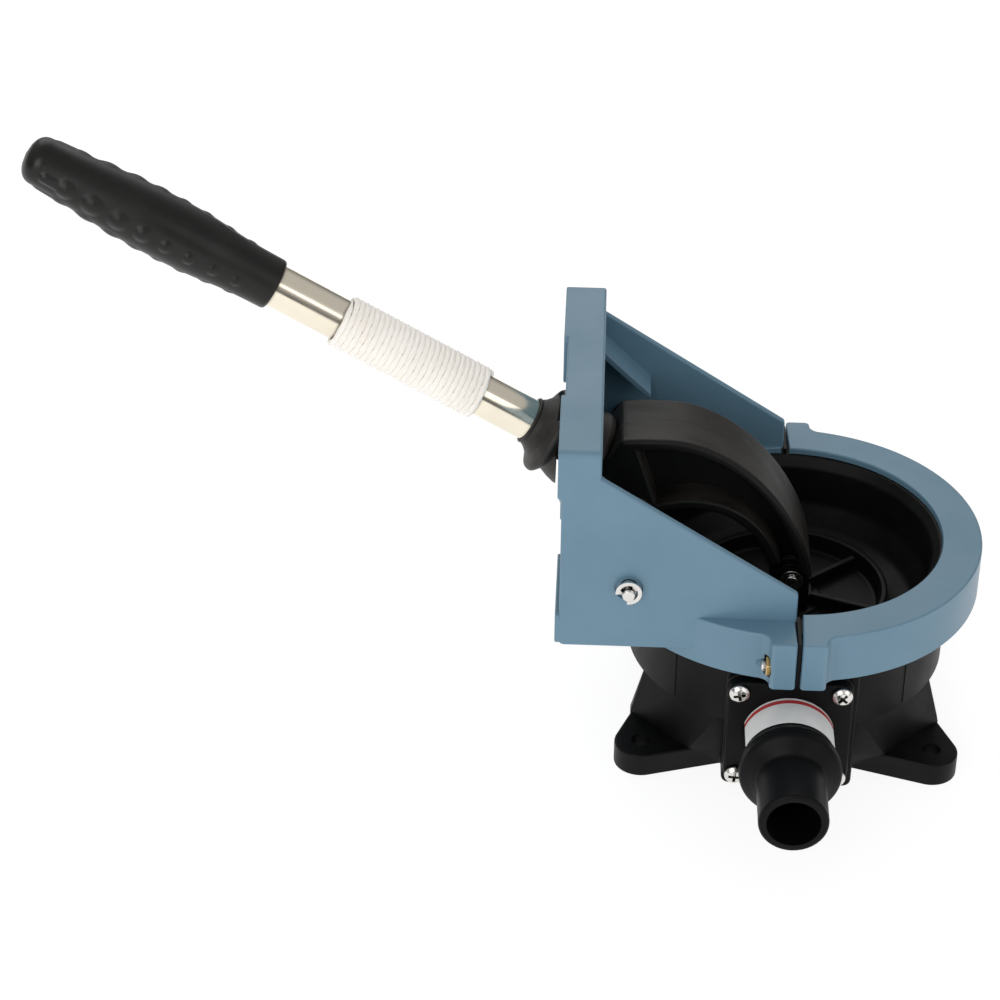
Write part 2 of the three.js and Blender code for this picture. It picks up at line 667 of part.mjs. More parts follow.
// An E-clip: it grips the pin's groove at three places and its mouth faces down and towards the bulkhead.
function pivotClip(side) {
  const [y0, y1] = clipSpan(side, 0);
  const disc = rodY(CLIP.outer, y0, y1, PIVOT.x, PIVOT.z, 24);
  const seat = rodY(CLIP.seat, y0 - 1, y1 + 1, PIVOT.x, PIVOT.z);
  const windows = [[2.2, 0], [0, 2.2]].map(([x, z]) => rodY(CLIP.window, y0 - 1, y1 + 1, PIVOT.x + x, PIVOT.z + z, SMALL));
  const mouth = new THREE.BoxGeometry(8, CLIP.thick + 2, 2 * CLIP.seat - 0.4).translate(4, 0, 0);
  mouth.rotateY(THREE.MathUtils.degToRad(135)).translate(PIVOT.x, (y0 + y1) / 2, PIVOT.z);
  return cut(disc, seat, ...windows, solid(mouth));
}

function pivotSpacer(side) {
  const inside = PLATE.half - CHEEK.thick - GAP;
  const from = ARM.half + 2 + GAP;
  const [y0, y1] = side < 0 ? [-inside, -from] : [from, inside];
  return cut(rodY(SPACER, y0, y1, PIVOT.x, PIVOT.z), rodY(PIVOT.r + 0.1, y0 - 1, y1 + 1, PIVOT.x, PIVOT.z));
}

const CLEVIS_END = LUG_OUT + 2.4;

function clevisPin() {
  const head = rodY(CLEVIS.r + 1.2, LUG_OUT + GAP, LUG_OUT + GAP + 1.6, CLEVIS.x, CLEVIS.z);
  return join(head, rodY(CLEVIS.r, -CLEVIS_END, LUG_OUT + 1, CLEVIS.x, CLEVIS.z));
}

function clevisClip() {
  const y1 = -LUG_OUT - GAP;
  const ring = rodY(CLEVIS.r + 1.9, y1 - 0.9, y1, CLEVIS.x, CLEVIS.z);
  return cut(ring, rodY(CLEVIS.r + 0.1, y1 - 3, y1 + 3, CLEVIS.x, CLEVIS.z));
}

// Pieces turned about the handle's own axis.
function turnedOnHandle(profile, sides) {
  return turned(profile, sides).translate(HANDLE.offset, 0, 0);
}

function handleTube() {
  return turnedOnHandle([
    [TUBE.inner, TUBE.start],
    [TUBE.outer, TUBE.start],
    [TUBE.outer, TUBE.end],
    [TUBE.inner, TUBE.end],
  ], FINE);
}

function grip() {
  const { start, end, r } = GRIP;
  const hollow = TUBE.outer + GAP;
  const side = r.map((radius, i) => [radius, start + ((end - 7 - start) * i) / (r.length - 1)]);
  return turnedOnHandle([
    [hollow, start],
    ...side,
    [8.6, end - 4],
    [6, end - 1],
    [0.001, end],
    [0.001, TUBE.end + 1],
    [hollow, TUBE.end + 1],
  ], FINE);
}

function whipping() {
  const inner = TUBE.outer + GAP;
  const { start, end, outer } = WHIPPING;
  return turnedOnHandle([
    [inner, start],
    [outer, start + 1],
    [outer, end - 1],
    [inner, end],
  ], FINE);
}

// The rubber boot grips the rim of the plate's opening, so its groove is that rim's shape with a gap.
function gaiter() {
  const { start, end } = GAITER;
  const inner = HANDLE.shank + 2 * GAP;
  const boot = turnedOnHandle([
    [inner, start],
    [15.6, start],
    [16.2, start + 2.2],
    [14, start + 6],
    [15, start + 14],
    [16, end - 11],
    [15.4, end - 7.5],
    [12.6, end - 4.5],
    [10.6, end - 3.5],
    [10.2, end],
    [TUBE.outer + GAP, end],
    [TUBE.outer + GAP, TUBE.start - 1],
    [inner, TUBE.start - 1],
  ], 24);
  const [x0, x1] = [PLATE.out - MOUNT.proud - GAP, PLATE.out + PLATE.skin + GAP];
  const rim = cut(rodX(40, x0, x1, 0, COLLAR.z), rodX(COLLAR.hole - GAP, x0 - 1, x1 + 1, 0, COLLAR.z, ROUND / 2));
  return cut(solid(boot.applyMatrix4(handle.matrixWorld)), rim);
}

// ---- assembly ----
place("pump_body", pumpBody(), black);
place("bulkhead_bracket", bracket(), blue);
place("clamp_half", clampHalf(), blue);
for (const [end, word] of [[-1, "front"], [1, "rear"]]) {
  place("clamp_stud_" + word, clampStud(end), steel);
  place("clamp_nut_" + word, clampNut(end), brass);
  place("pivot_clip_" + word, pivotClip(end), steel);
  place("pivot_spacer_" + word, pivotSpacer(end), black);
}
for (const [side, word] of [[-1, "outlet"], [1, "inlet"]]) {
  place(word + "_hose_tail", hoseTail(side), black);
  place(word + "_gasket", gasket(side), rubber);
  place(word + "_flap", flap(side), rubber);
  portScrewPlaces().forEach(([x, z], i) => {
    const seat = new THREE.Group();
    seat.position.set(x, side * (TAIL_FACE_Y + GAP), z);
    seat.rotation.x = side < 0 ? Math.PI / 2 : -Math.PI / 2;
    pump.add(seat);
    place(word + "_screw_" + (i + 1), portScrew(), steel, seat);
  });
}
place("label", label(), labelWhite);
place("diaphragm", diaphragm(), rubber);
place("drive_plate", drivePlate(), black);
place("backing_plate", backingPlate(), black);
place("centre_bolt", centreBolt(), steel);
place("clevis_pin", clevisPin(), steel);
place("clevis_clip", clevisClip(), steel);
place("pivot_pin", pivotPin(), steel);
place("lever_arm", leverArm(), black);
place("handle_tube", handleTube(), tubeMetal, handle);
place("grip", grip(), gripRubber, handle);
place("cord_whipping", whipping(), cordWhite, handle);
place("gaiter", gaiter(), rubber);
pump.add(handle);

export default pump;
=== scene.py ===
import math
import random

import bmesh
import bpy
from mathutils import Matrix, Vector


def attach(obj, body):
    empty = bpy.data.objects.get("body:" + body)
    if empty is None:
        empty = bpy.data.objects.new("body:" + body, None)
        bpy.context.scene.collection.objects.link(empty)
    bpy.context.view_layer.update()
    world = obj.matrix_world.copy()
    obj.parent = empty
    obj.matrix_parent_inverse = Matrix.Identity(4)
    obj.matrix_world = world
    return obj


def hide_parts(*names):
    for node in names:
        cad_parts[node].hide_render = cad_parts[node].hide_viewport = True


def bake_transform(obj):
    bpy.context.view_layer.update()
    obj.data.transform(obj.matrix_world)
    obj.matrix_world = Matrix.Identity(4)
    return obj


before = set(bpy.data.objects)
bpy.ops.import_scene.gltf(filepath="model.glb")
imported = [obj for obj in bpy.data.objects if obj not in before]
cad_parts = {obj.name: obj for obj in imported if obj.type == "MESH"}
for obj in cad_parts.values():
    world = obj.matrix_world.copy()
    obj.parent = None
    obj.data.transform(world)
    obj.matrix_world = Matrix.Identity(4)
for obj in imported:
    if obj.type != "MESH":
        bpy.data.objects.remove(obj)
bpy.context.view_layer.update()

# Lengths are millimetres until finish_piece() turns a mesh into metres.
MM = 0.001
SMOOTH_ANGLE = math.radians(32)
random.seed(7)

# ---- dimensions shared with the CAD ----
GAP = 0.3
RING = {"r": 72, "mouth": 57.2, "top": 77, "bottom": 57.3, "lip": 2.5, "ledge": 1.8, "skirt": 4.6,
        "split": 0.85, "mouth_split": 1.65}
LUG = {"outer": 77.5, "far": 10.3, "hole_y": 72.4, "z": 64.5, "blend": 4.6}
STUD = {"r": 2.1, "root": 2.9, "root_start": 3, "left": -13.3, "right": 8.5, "hole": 2.4, "blind": 2.95}
NUT = {"r": 4.04, "bore": 2.2, "inner": -8.3, "outer": -11.7, "pocket": 4.4, "pocket_end": -12.3}
STRIP = {"half": 0.7, "near": 57.9, "far": 75.5, "bottom": 58, "top": 76.2}
BODY = {"r": 60.7, "flange": 66, "flange_top": 69, "flange_bottom": 59.5, "waist": 27, "floor": 7}
FOOT = {"x": 55, "y": 47.5, "r": 10, "top": 9.6, "hole": 3.6}
HULL = {"x": 59, "facet": 62.7, "low_y": 48.4, "mid_y": 51.8, "top_x": 54.5, "top_y": 54.5, "steps": 16}
RECESS = {"x": 53.5, "y": 26, "top": 26.2}
PORT = {"x": -1.3, "z": 29.7, "pad": 61, "size": 46.4, "spacing": 37.6, "corner": 6, "seat": 11, "room": 13.6}
PORT_AXIS = (PORT["x"], PORT["z"])
VALVE = {"near": 61.3, "far": 62.9, "r": 12.4, "stud": 3, "stud_near": 62.7, "stud_far": 63.5}
PAD = {"left": -24.6, "right": 24.2, "bottom": 0.8, "top": 54.2}
TAIL = {"plate": 63.2, "face": 67.8, "neck": 16.8, "bead": 18.9, "spigot": 12.7, "bore": 9.5, "end": 119.5}
SCREW = {"r": 3.75, "height": 2.3, "reach": 15, "shank": 1.9, "recess": 1.9, "hole": 2.3}
LABEL = {"outer": 17.15, "inner": 16.9, "end": 82.6, "half_turn": 1.25}
PLATE = {"out": -87, "into": -73, "skin": 4, "wall": 3.5, "half": 61.6, "top": 145.6, "bottom": 62.8}
CHEEK = {"thick": 3, "top": 134.8, "end": 88}
RAMP = {"top": 126, "bottom": 108, "right": -54.6, "thick": 2.6, "inner": 44}
COLLAR = {"z": 109.7, "outer": 20.7, "hole": 18.6}
COLLAR_AXIS = (0, COLLAR["z"])
MOUNT = {"y": 48, "r": 3.3, "low": 70.5, "high": 134, "inner": 20, "low_top": 76.2, "high_bottom": 125,
         "proud": 1.5}
PIVOT = Vector((-62, 0, 89))
PIVOT_AXIS = (PIVOT.x, PIVOT.z)
BORE = {"r": 5.2, "floor": 60.4}
PIN = {"r": 3.0, "tip": 2.3, "groove": 1.9, "clip": 64.2, "clip_thick": 0.9, "end": 67.1}
CLIP = {"outer": 4.8, "inner": 3.3, "seat": 2.15}
SPACER = {"r": 7.5, "inner": 17.8}
CLEVIS = {"x": 0.5, "z": 59.5, "r": 2.6, "hole": 2.9, "head": 3.8, "clip": 4.5, "eye": 7, "room": 8.2}
EAR = {"inner": 6, "outer": 9.6}
BOLT = {"head": 7, "bottom": 32.8, "seat": 35.0, "r": 4, "top": 48.9, "hole": 4.3}
BACKING = {"bottom": 35.3, "top": 38.5}
CLEVIS_AXIS = (CLEVIS["x"], CLEVIS["z"])
ARM = {"half": 15.5, "tongue": 5.5, "web": 3, "boss": 10, "shank": 6.4, "room": 8.3}
TUBE = {"r": 8, "bore": 6.8, "start": 31, "end": 250}
GRIP = {"start": 157.5, "cap": 251, "end": 258.0, "bore": 8.3}
CORD = {"turns": 28, "diameter": 2.15, "start": 69.6, "end": 131.2, "lay": 9.05, "twist": 7.5}
TILT = math.radians(30.1)
OUTWARD = Vector((-math.cos(TILT), 0, math.sin(TILT)))
UPWARD = Vector((math.sin(TILT), 0, math.cos(TILT)))
TUBE_OFFSET = 8.7
HANDLE = Matrix((
    (UPWARD.x, 0, OUTWARD.x, PIVOT.x + TUBE_OFFSET * UPWARD.x),
    (0, 1, 0, 0),
    (UPWARD.z, 0, OUTWARD.z, PIVOT.z + TUBE_OFFSET * UPWARD.z),
    (0, 0, 0, 1),
))
ALONG = {
    "x": lambda u, v, h: (h, u, v),
    "y": lambda u, v, h: (u, h, v),
    "z": lambda u, v, h: (u, v, h),
}


# ---- camera ----
def make_camera():
    camera = bpy.data.cameras.new("camera")
    camera.lens = 101.69
    camera.sensor_width = 36
    camera.clip_start = 0.05
    holder = bpy.data.objects.new("camera", camera)
    right = Vector((0.9990069, 0.0438331, 0.0079859))
    down = Vector((0.0305246, -0.5427752, -0.8393231))
    forward = Vector((-0.0324556, 0.8387334, -0.5435742))
    place = Matrix((right, -down, -forward)).transposed().to_4x4()
    place.translation = (-0.07631, -0.90083, 0.66912)
    holder.matrix_world = place
    bpy.context.scene.collection.objects.link(holder)
    bpy.context.scene.camera = holder


make_camera()


# ---- outlines in a plane ----
def arc(cx, cy, r, start, end, steps):
    """Points on a circle from one angle to another, in degrees."""
    angles = [math.radians(start + (end - start) * i / steps) for i in range(steps + 1)]
    return [(cx + r * math.cos(a), cy + r * math.sin(a)) for a in angles]


def rounded(corners, steps=5):
    """Corners are (x, y) or (x, y, radius)."""
    points = []
    for i, corner in enumerate(corners):
        here = Vector(corner[:2])
        radius = corner[2] if len(corner) > 2 else 0
        if not radius:
            points.append(tuple(here))
            continue
        before = (Vector(corners[i - 1][:2]) - here).normalized()
        after = (Vector(corners[(i + 1) % len(corners)][:2]) - here).normalized()
        half = before.angle(after) / 2
        reach = radius / math.tan(half)
        centre = here + (before + after).normalized() * radius / math.sin(half)
        a = here + before * reach - centre
        b = here + after * reach - centre
        start = math.atan2(a.y, a.x)
        sweep = (math.atan2(b.y, b.x) - start + math.pi) % (2 * math.pi) - math.pi
        for k in range(steps + 1):
            angle = start + sweep * k / steps
            points.append((centre.x + radius * math.cos(angle), centre.y + radius * math.sin(angle)))
    return points


def rectangle(x0, x1, y0, y1, low, high, steps=5):
    """A rectangle with one radius at its lower corners and another at its upper ones."""
    return rounded([(x0, y0, low), (x1, y0, low), (x1, y1, high), (x0, y1, high)], steps)


def span(side, near, far):
    """The stretch from near to far on one side of zero, lowest end first."""
    return (-far, -near) if side < 0 else (near, far)


def rims(side, outer, inner):
    """The two rim radii of a prism, lowest end first, from those of its outer and inner ends."""
    return (outer, inner) if side < 0 else (inner, outer)


def area(points):
    return sum(a[0] * b[1] - b[0] * a[1] for a, b in zip(points, points[1:] + points[:1])) / 2


def inset(points, depth):
    """Moves each side of an anticlockwise outline inward."""
    moved = []
    for i, point in enumerate(points):
        a, b, c = Vector(points[i - 1]), Vector(point), Vector(points[(i + 1) % len(points)])
        first, second = (b - a).normalized(), (c - b).normalized()
        normal = Vector((-first.y, first.x))
        middle = (normal + Vector((-second.y, second.x))).normalized()
        moved.append(tuple(b + middle * depth / max(middle.dot(normal), 0.35)))
    return moved


def bezier(p0, p1, p2, p3, steps):
    points = []
    for i in range(steps + 1):
        t = i / steps
        weights = ((1 - t) ** 3, 3 * t * (1 - t) ** 2, 3 * t * t * (1 - t), t ** 3)
        points.append(tuple(sum(w * p[k] for w, p in zip(weights, (p0, p1, p2, p3))) for k in (0, 1)))
    return points


def hull_of(points):
    """The convex outline round some points, anticlockwise."""
    ordered = sorted(set(points))
    sides = []
    for run in (ordered, ordered[::-1]):
        side = []
        for p in run:
            while len(side) > 1:
                a, b = side[-2], side[-1]
                if (b[0] - a[0]) * (p[1] - a[1]) - (b[1] - a[1]) * (p[0] - a[0]) > 1e-6:
                    break
                side.pop()
            side.append(p)
        sides.append(side[:-1])
    return sides[0] + sides[1]


# ---- meshes ----
def mesh_object(name, verts, faces, matrix=None):
    mesh = bpy.data.meshes.new(name)
    mesh.from_pydata([tuple(v) for v in verts], [], faces)
    obj = bpy.data.objects.new(name, mesh)
    bpy.context.scene.collection.objects.link(obj)
    work = bmesh.new()
    work.from_mesh(mesh)
    bmesh.ops.remove_doubles(work, verts=work.verts, dist=1e-4)
    bmesh.ops.dissolve_degenerate(work, edges=work.edges, dist=1e-5)
    if matrix is not None:
        bmesh.ops.transform(work, matrix=matrix, verts=work.verts)
    bmesh.ops.recalc_face_normals(work, faces=work.faces)
    work.to_mesh(mesh)
    work.free()
    return obj


def skin(name, loops, matrix=None):
    """A surface through loops of the same number of points, with a cap at each end."""
    n = len(loops[0])
    verts = [p for loop in loops for p in loop]
    faces = []
    for k in range(len(loops) - 1):
        low, high = k * n, (k + 1) * n
        for i in range(n):
            j = (i + 1) % n
            faces.append((low + i, low + j, high + j, high + i))
    faces.append(tuple(range(n))[::-1])
    faces.append(tuple(range((len(loops) - 1) * n, len(loops) * n)))
    return mesh_object(name, verts, faces, matrix)


def prism(name, outline, low, high, axis="z", edge=1.0, steps=3):
    """An outline pushed along an axis, its two rims rounded by edge, or by (low edge, high edge)."""
    points = outline if area(outline) > 0 else outline[::-1]
    rims = edge if isinstance(edge, tuple) else (edge, edge)
    stations = []
    for sign, level, rim in ((1, low, rims[0]), (-1, high, rims[1])):
        count = steps if rim else 0
        side = []
        for k in range(count + 1):
            turn = math.pi / 2 * k / count if count else math.pi / 2
            side.append((rim * (1 - math.sin(turn)), level + sign * rim * (1 - math.cos(turn))))
        stations += side if sign > 0 else side[::-1]
    loops = [[ALONG[axis](u, v, h) for u, v in inset(points, depth)] for depth, h in stations]
    return skin(name, loops)


def lathe(name, profile, sides=96, axis="z", centre=(0, 0), matrix=None):
    """A closed profile of (radius, height) points turned about an axis through centre."""
    on_axis = profile[0][0] < 1e-6 and profile[-1][0] < 1e-6
    loops = []
    for i in range(sides):
        turn = 2 * math.pi * i / sides
        loops.append([
            ALONG[axis](centre[0] + r * math.cos(turn), centre[1] + r * math.sin(turn), h) for r, h in profile
        ])
    n = len(profile)
    verts = [p for loop in loops for p in loop]
    faces = []
    for k in range(sides):
        low, high = k * n, ((k + 1) % sides) * n
        for i in range(n - 1 if on_axis else n):
            j = (i + 1) % n
            faces.append((low + i, low + j, high + j, high + i))
    return mesh_object(name, verts, faces, matrix)


def rod(r, low, high, axis, centre, sides=32, edge=0.0):
    """A solid cylinder with rounded rims."""
    profile = rounded([(0, low), (r, low, edge), (r, high, edge), (0, high)], 3)
    return lathe("rod", profile, sides, axis, centre)


def box(x0, x1, y0, y1, z0, z1, edge=0.0):
    return prism("box", rectangle(x0, x1, y0, y1, edge * 1.2, edge * 1.2, 3), z0, z1, "z", edge)


def combine(target, operation, *tools):
    for tool in tools:
        step = target.modifiers.new("step", "BOOLEAN")
        step.operation = operation
        step.solver = "EXACT"
        step.object = tool
    depsgraph = bpy.context.evaluated_depsgraph_get()
    mesh = bpy.data.meshes.new_from_object(target.evaluated_get(depsgraph))
    target.modifiers.clear()
    target.data = mesh
    for tool in tools:
        bpy.data.objects.remove(tool)
    return target


def join(target, *others):
    return combine(target, "UNION", *others)


def cut(target, *tools):
    return combine(target, "DIFFERENCE", *tools)


def finish_piece(obj, name, material, body, nodes=(), angle=SMOOTH_ANGLE):
    """Turns the mesh into metres, shades it, and ties it to its body and nodes."""
    obj.name = name
    work = bmesh.new()
    work.from_mesh(obj.data)
    bmesh.ops.remove_doubles(work, verts=work.verts, dist=0.004)
    bmesh.ops.dissolve_degenerate(work, edges=work.edges, dist=0.002)
    bmesh.ops.transform(work, matrix=Matrix.Scale(MM, 4), verts=work.verts)
    work.to_mesh(obj.data)
    work.free()
    obj.data.shade_smooth()
    obj.data.set_sharp_from_angle(angle=angle)
    weighted = obj.modifiers.new("weighted", "WEIGHTED_NORMAL")
    weighted.keep_sharp = True
    weighted.weight = 60
    obj.data.materials.clear()
    obj.data.materials.append(material)
    if nodes:
        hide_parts(*nodes)
    if body:
        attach(obj, body)


# ---- materials ----
class Shader:
    """A small builder for node materials."""

    def __init__(self, name):
        self.material = bpy.data.materials.new(name)
        self.material.use_nodes = True
        self.nodes = self.material.node_tree.nodes
        self.links = self.material.node_tree.links
        self.surface = self.nodes["Principled BSDF"]
        coordinates = self.nodes.new("ShaderNodeTexCoord")
        self.place = coordinates.outputs["Object"]
        self.facing = coordinates.outputs["Normal"]

    def fill(self, socket, value):
        """Links a socket to another node, or gives it a value."""
        if isinstance(value, bpy.types.NodeSocket):
            self.links.new(value, socket)
        else:
            socket.default_value = value

    def put(self, kind, **inputs):
        node = self.nodes.new(kind)
        for key, value in inputs.items():
            self.fill(node.inputs[key], value)
        return node

    def set(self, key, value):
        self.fill(self.surface.inputs[key], value)

    def noise(self, scale, detail=3, roughness=0.5, stretch=None):
        where = self.place
        if stretch:
            where = self.put("ShaderNodeMapping", Vector=self.place, Scale=stretch).outputs["Vector"]
        return self.put("ShaderNodeTexNoise", Vector=where, Scale=scale, Detail=detail,
                        Roughness=roughness).outputs["Fac"]

    def math(self, operation, first, second=0.0):
        node = self.nodes.new("ShaderNodeMath")
        node.operation = operation
        for socket, value in zip(node.inputs, (first, second)):
            self.fill(socket, value)
        return node.outputs[0]

    def split(self, vector):
        return self.put("ShaderNodeSeparateXYZ", Vector=vector).outputs

    def remap(self, value, low, high, start=0.3, end=0.7):
        node = self.nodes.new("ShaderNodeMapRange")
        self.links.new(value, node.inputs["Value"])
        for key, amount in zip(("From Min", "From Max", "To Min", "To Max"), (start, end, low, high)):
            node.inputs[key].default_value = amount
        return node.outputs["Result"]

    def mix(self, factor, first, second):
        node = self.nodes.new("ShaderNodeMix")
        node.data_type = "RGBA"
        self.links.new(factor, node.inputs["Factor"])
        for key, value in ((6, first), (7, second)):
            colour = (*value, 1) if isinstance(value, tuple) else value
            self.fill(node.inputs[key], colour)
        return node.outputs[2]

    def bump(self, height, strength, distance, under=None):
        node = self.nodes.new("ShaderNodeBump")
        node.inputs["Strength"].default_value = strength
        node.inputs["Distance"].default_value = distance
        self.links.new(height, node.inputs["Height"])
        if under is not None:
            self.links.new(under, node.inputs["Normal"])
        return node.outputs["Normal"]


def moulded(name, dark, light, rough, grain, gloss=0.5, mottle=90):
    """Moulded plastic or rubber: slow colour drift, uneven gloss and a fine grain."""
    s = Shader(name)
    drift = s.noise(mottle, 4, 0.6)
    fine = s.noise(2600, 2)
    s.set("Base Color", s.mix(s.remap(drift, 0, 1), dark, light))
    s.set("Roughness", s.remap(s.noise(35, 5, 0.6), rough[0], rough[1]))
    s.set("Specular IOR Level", gloss)
    wave = s.bump(s.noise(120, 3), grain * 0.6, 0.0006)
    s.set("Normal", s.bump(fine, grain, 0.0002, wave))
    return s.material


def arm_plastic():
    """Near-black moulding, with pale flow marks and a thin seam on its upper and lower surfaces; its side
    faces are painted darker as shade.
    """
    s = Shader("arm_plastic")
    flow = s.noise(60, 5, 0.65, (0.8, 2.6, 1.6))
    cloud = s.noise(26, 3, 0.5)
    marks = s.remap(s.math("MULTIPLY", flow, cloud), 0, 1, 0.15, 0.36)
    marked = s.mix(marks, (0.009, 0.008, 0.007), (0.034, 0.030, 0.026))
    shaded_side_mask = s.math("ABSOLUTE", s.split(s.facing)[1])
    across = s.math("ABSOLUTE", s.split(s.place)[1])
    seam = s.remap(across, 1, 0, 0.00015, 0.0004)
    lined = s.mix(seam, marked, (0.012, 0.011, 0.010))
    # Faces turned sideways get a near-black colour: painted shade from the bracket's cheeks around the arm.
    s.set("Base Color", s.mix(s.remap(shaded_side_mask, 0, 1, 0.25, 0.6), lined, (0.0035, 0.0033, 0.0031)))
    s.set("Roughness", s.remap(flow, 0.42, 0.60))
    s.set("Specular IOR Level", 0.25)
    grain = s.bump(s.noise(1500, 3), 0.22, 0.0003)
    s.set("Normal", s.bump(s.noise(180, 4, 0.6), 0.12, 0.0008, grain))
    return s.material


def brushed(name, color, rough, streak):
    """Metal with drawing lines and painted shade darkening its recesses; streak squeezes the noise along the
    piece.
    """
    s = Shader(name)
    # This dark colour is painted shade, mixed in by ambient occlusion in recesses and crevices.
    recess_shade_colour = (0.05, 0.04, 0.03)
    lines = s.noise(900, 3, 0.6, streak)
    stain = s.noise(45, 4, 0.6)
    darker = tuple(c * 0.9 for c in color)
    shade = s.put("ShaderNodeAmbientOcclusion", Distance=0.0016).outputs["AO"]
    clean = s.mix(s.remap(stain, 0, 1), darker, color)
    s.set("Base Color", s.mix(s.remap(shade, 0, 1, 0.35, 0.9), recess_shade_colour, clean))
    s.set("Metallic", 1.0)
    s.set("Roughness", s.remap(lines, rough[0], rough[1]))
    s.set("Normal", s.bump(lines, 0.05, 0.0002))
    return s.material


def cord_cotton():
    s = Shader("cord_cotton")
    fibre = s.noise(1700, 5, 0.75)
    soil = s.noise(60, 3)
    s.set("Base Color", s.mix(s.remap(soil, 0, 1), (0.92, 0.87, 0.80), (0.99, 0.95, 0.89)))
    s.set("Roughness", 0.95)
    s.set("Sheen Weight", 0.5)
    # The faint warm emission is painted light: it makes the cord glow brighter than its lighting would.
    s.set("Emission Color", (1.0, 0.93, 0.84, 1))
    s.set("Emission Strength", 0.10)
    s.set("Subsurface Weight", 0.35)
    s.set("Subsurface Radius", (1, 1, 1))
    s.set("Subsurface Scale", 0.0022)
    s.set("Normal", s.bump(fibre, 0.6, 0.0004))
    return s.material


def label_film():
    """White film with one plain band along the edge by the flange, and no lettering."""
    s = Shader("label_film")
    y = s.split(s.place)[1]
    band = s.math("MULTIPLY", s.math("GREATER_THAN", y, -0.0712), s.math("LESS_THAN", y, -0.0692))
    paper = s.mix(s.remap(s.noise(140, 3), 0, 1), (0.84, 0.84, 0.83), (0.92, 0.92, 0.91))
    s.set("Base Color", s.mix(band, paper, (0.55, 0.05, 0.05)))
    s.set("Roughness", s.remap(s.noise(300, 3), 0.3, 0.45))
    s.set("Normal", s.bump(s.noise(200, 3), 0.08, 0.0003))
    return s.material


BLUE_FINISH = moulded(
    "blue_plastic_finish", (0.120, 0.226, 0.308), (0.134, 0.247, 0.333), (0.34, 0.46), 0.10, mottle=40)
BLACK_FINISH = moulded(
    "black_plastic_finish", (0.002, 0.002, 0.002), (0.005, 0.0048, 0.0045), (0.36, 0.52), 0.18, 0.13)
TAIL_FINISH = moulded(
    "tail_plastic_finish", (0.002, 0.002, 0.002), (0.004, 0.004, 0.004), (0.36, 0.50), 0.14, 0.12)
PLATE_FINISH = moulded(
    "plate_plastic_finish", (0.0025, 0.0025, 0.002), (0.0055, 0.005, 0.0045), (0.36, 0.55), 0.20, 0.14)
RUBBER_FINISH = moulded(
    "rubber_finish", (0.003, 0.003, 0.003), (0.006, 0.006, 0.0055), (0.40, 0.58), 0.25, 0.2)
BOOT_FINISH = moulded(
    "boot_rubber_finish", (0.014, 0.0125, 0.011), (0.032, 0.029, 0.026), (0.42, 0.60), 0.30, 0.3)
GRIP_FINISH = moulded(
    "grip_rubber_finish", (0.006, 0.0055, 0.005), (0.011, 0.0105, 0.0095), (0.30, 0.44), 0.10, 0.30)
ARM_FINISH = arm_plastic()
STEEL_FINISH = brushed("steel_finish", (0.78, 0.76, 0.73), (0.16, 0.30), (1, 1, 1))
TUBE_FINISH = brushed("tube_finish", (0.96, 0.88, 0.73), (0.10, 0.22), (0.03, 1, 0.03))
BRASS_FINISH = brushed("brass_finish", (0.74, 0.52, 0.22), (0.22, 0.36), (1, 1, 1))
COTTON_FINISH = cord_cotton()
FILM_FINISH = label_film()


# ---- the cord wound on the handle ----
def wound_cord():
    per_turn, strand_sides, strands = 48, 12, 3
    start, end, lay, diameter = CORD["start"], CORD["end"], CORD["lay"], CORD["diameter"]
    count = CORD["turns"] * per_turn
    path = []
    for i in range(count + 1):
        turn = 2 * math.pi * i / per_turn
        s = start + diameter / 2 + (end - start - diameter) * i / count
        path.append(HANDLE @ Vector((lay * math.cos(turn), lay * math.sin(turn), s)))
    loops = []
    for i, point in enumerate(path):
        ahead = (path[min(i + 1, count)] - path[max(i - 1, 0)]).normalized()
        axis_point = HANDLE @ Vector((0, 0, (HANDLE.inverted() @ point).z))
        out = (point - axis_point).normalized()
        side = ahead.cross(out).normalized()
        phase = CORD["twist"] * 2 * math.pi * i / per_turn
        fade = min(1, 0.25 + min(i, count - i) / 8)
        loop = []
        for k in range(strand_sides):
            angle = 2 * math.pi * k / strand_sides
            swell = 1.05 + 0.13 * math.cos(strands * (angle - phase / strands)) + 0.03 * random.uniform(-1, 1)
            radius = diameter / 2 * 0.985 * swell * fade
            loop.append(point + radius * (math.cos(angle) * out + math.sin(angle) * side))
        loops.append(loop)
    obj = skin("cord", loops)
    finish_piece(obj, "cord_winding", COTTON_FINISH, "lever", ["cord_whipping"], math.radians(80))


wound_cord()


# ---- clamp ring ----
def clamp_outline():
    """The right half seen from above, with its two lugs growing out of the ring in hollow curves."""
    split, r, far, blend = RING["split"], RING["r"], LUG["far"], LUG["blend"]
    side_x = far + blend
    side_y = math.sqrt((r + blend) ** 2 - side_x ** 2)
    touch = math.degrees(math.atan2(side_y, side_x))
    front_blend = arc(side_x, -side_y, blend, 180, 180 - touch, 8)
    outer = arc(0, 0, r, -touch, touch, 72)
    rear_blend = arc(side_x, side_y, blend, 180 + touch, 180, 8)
    mouth = (RING["mouth_split"], -RING["mouth"])
    tip = rounded([mouth, (split, -LUG["outer"], 1.4), (far, -LUG["outer"], 1.8), (far, -side_y)], 4)[1:-1]
    back_tip = [(x, -y) for x, y in tip[::-1]]
    open_angle = math.degrees(math.acos(RING["mouth_split"] / RING["mouth"]))
    inner = arc(0, 0, RING["mouth"], open_angle, -open_angle, 64)
    return tip + front_blend + outer[1:-1] + rear_blend + back_tip + inner


def seat_tool():
    """The room inside the ring for the body's flange and the diaphragm's rim."""
    low, ledge, top = RING["bottom"] - 2, RING["bottom"] + RING["ledge"], RING["top"] - RING["lip"]
    throat, wall = BODY["r"] + 0.8, RING["r"] - RING["skirt"]
    profile = [(0, low), (throat, low), (throat, ledge), (wall, ledge), (wall, top), (0, top)]
    return lathe("seat", profile, 128)


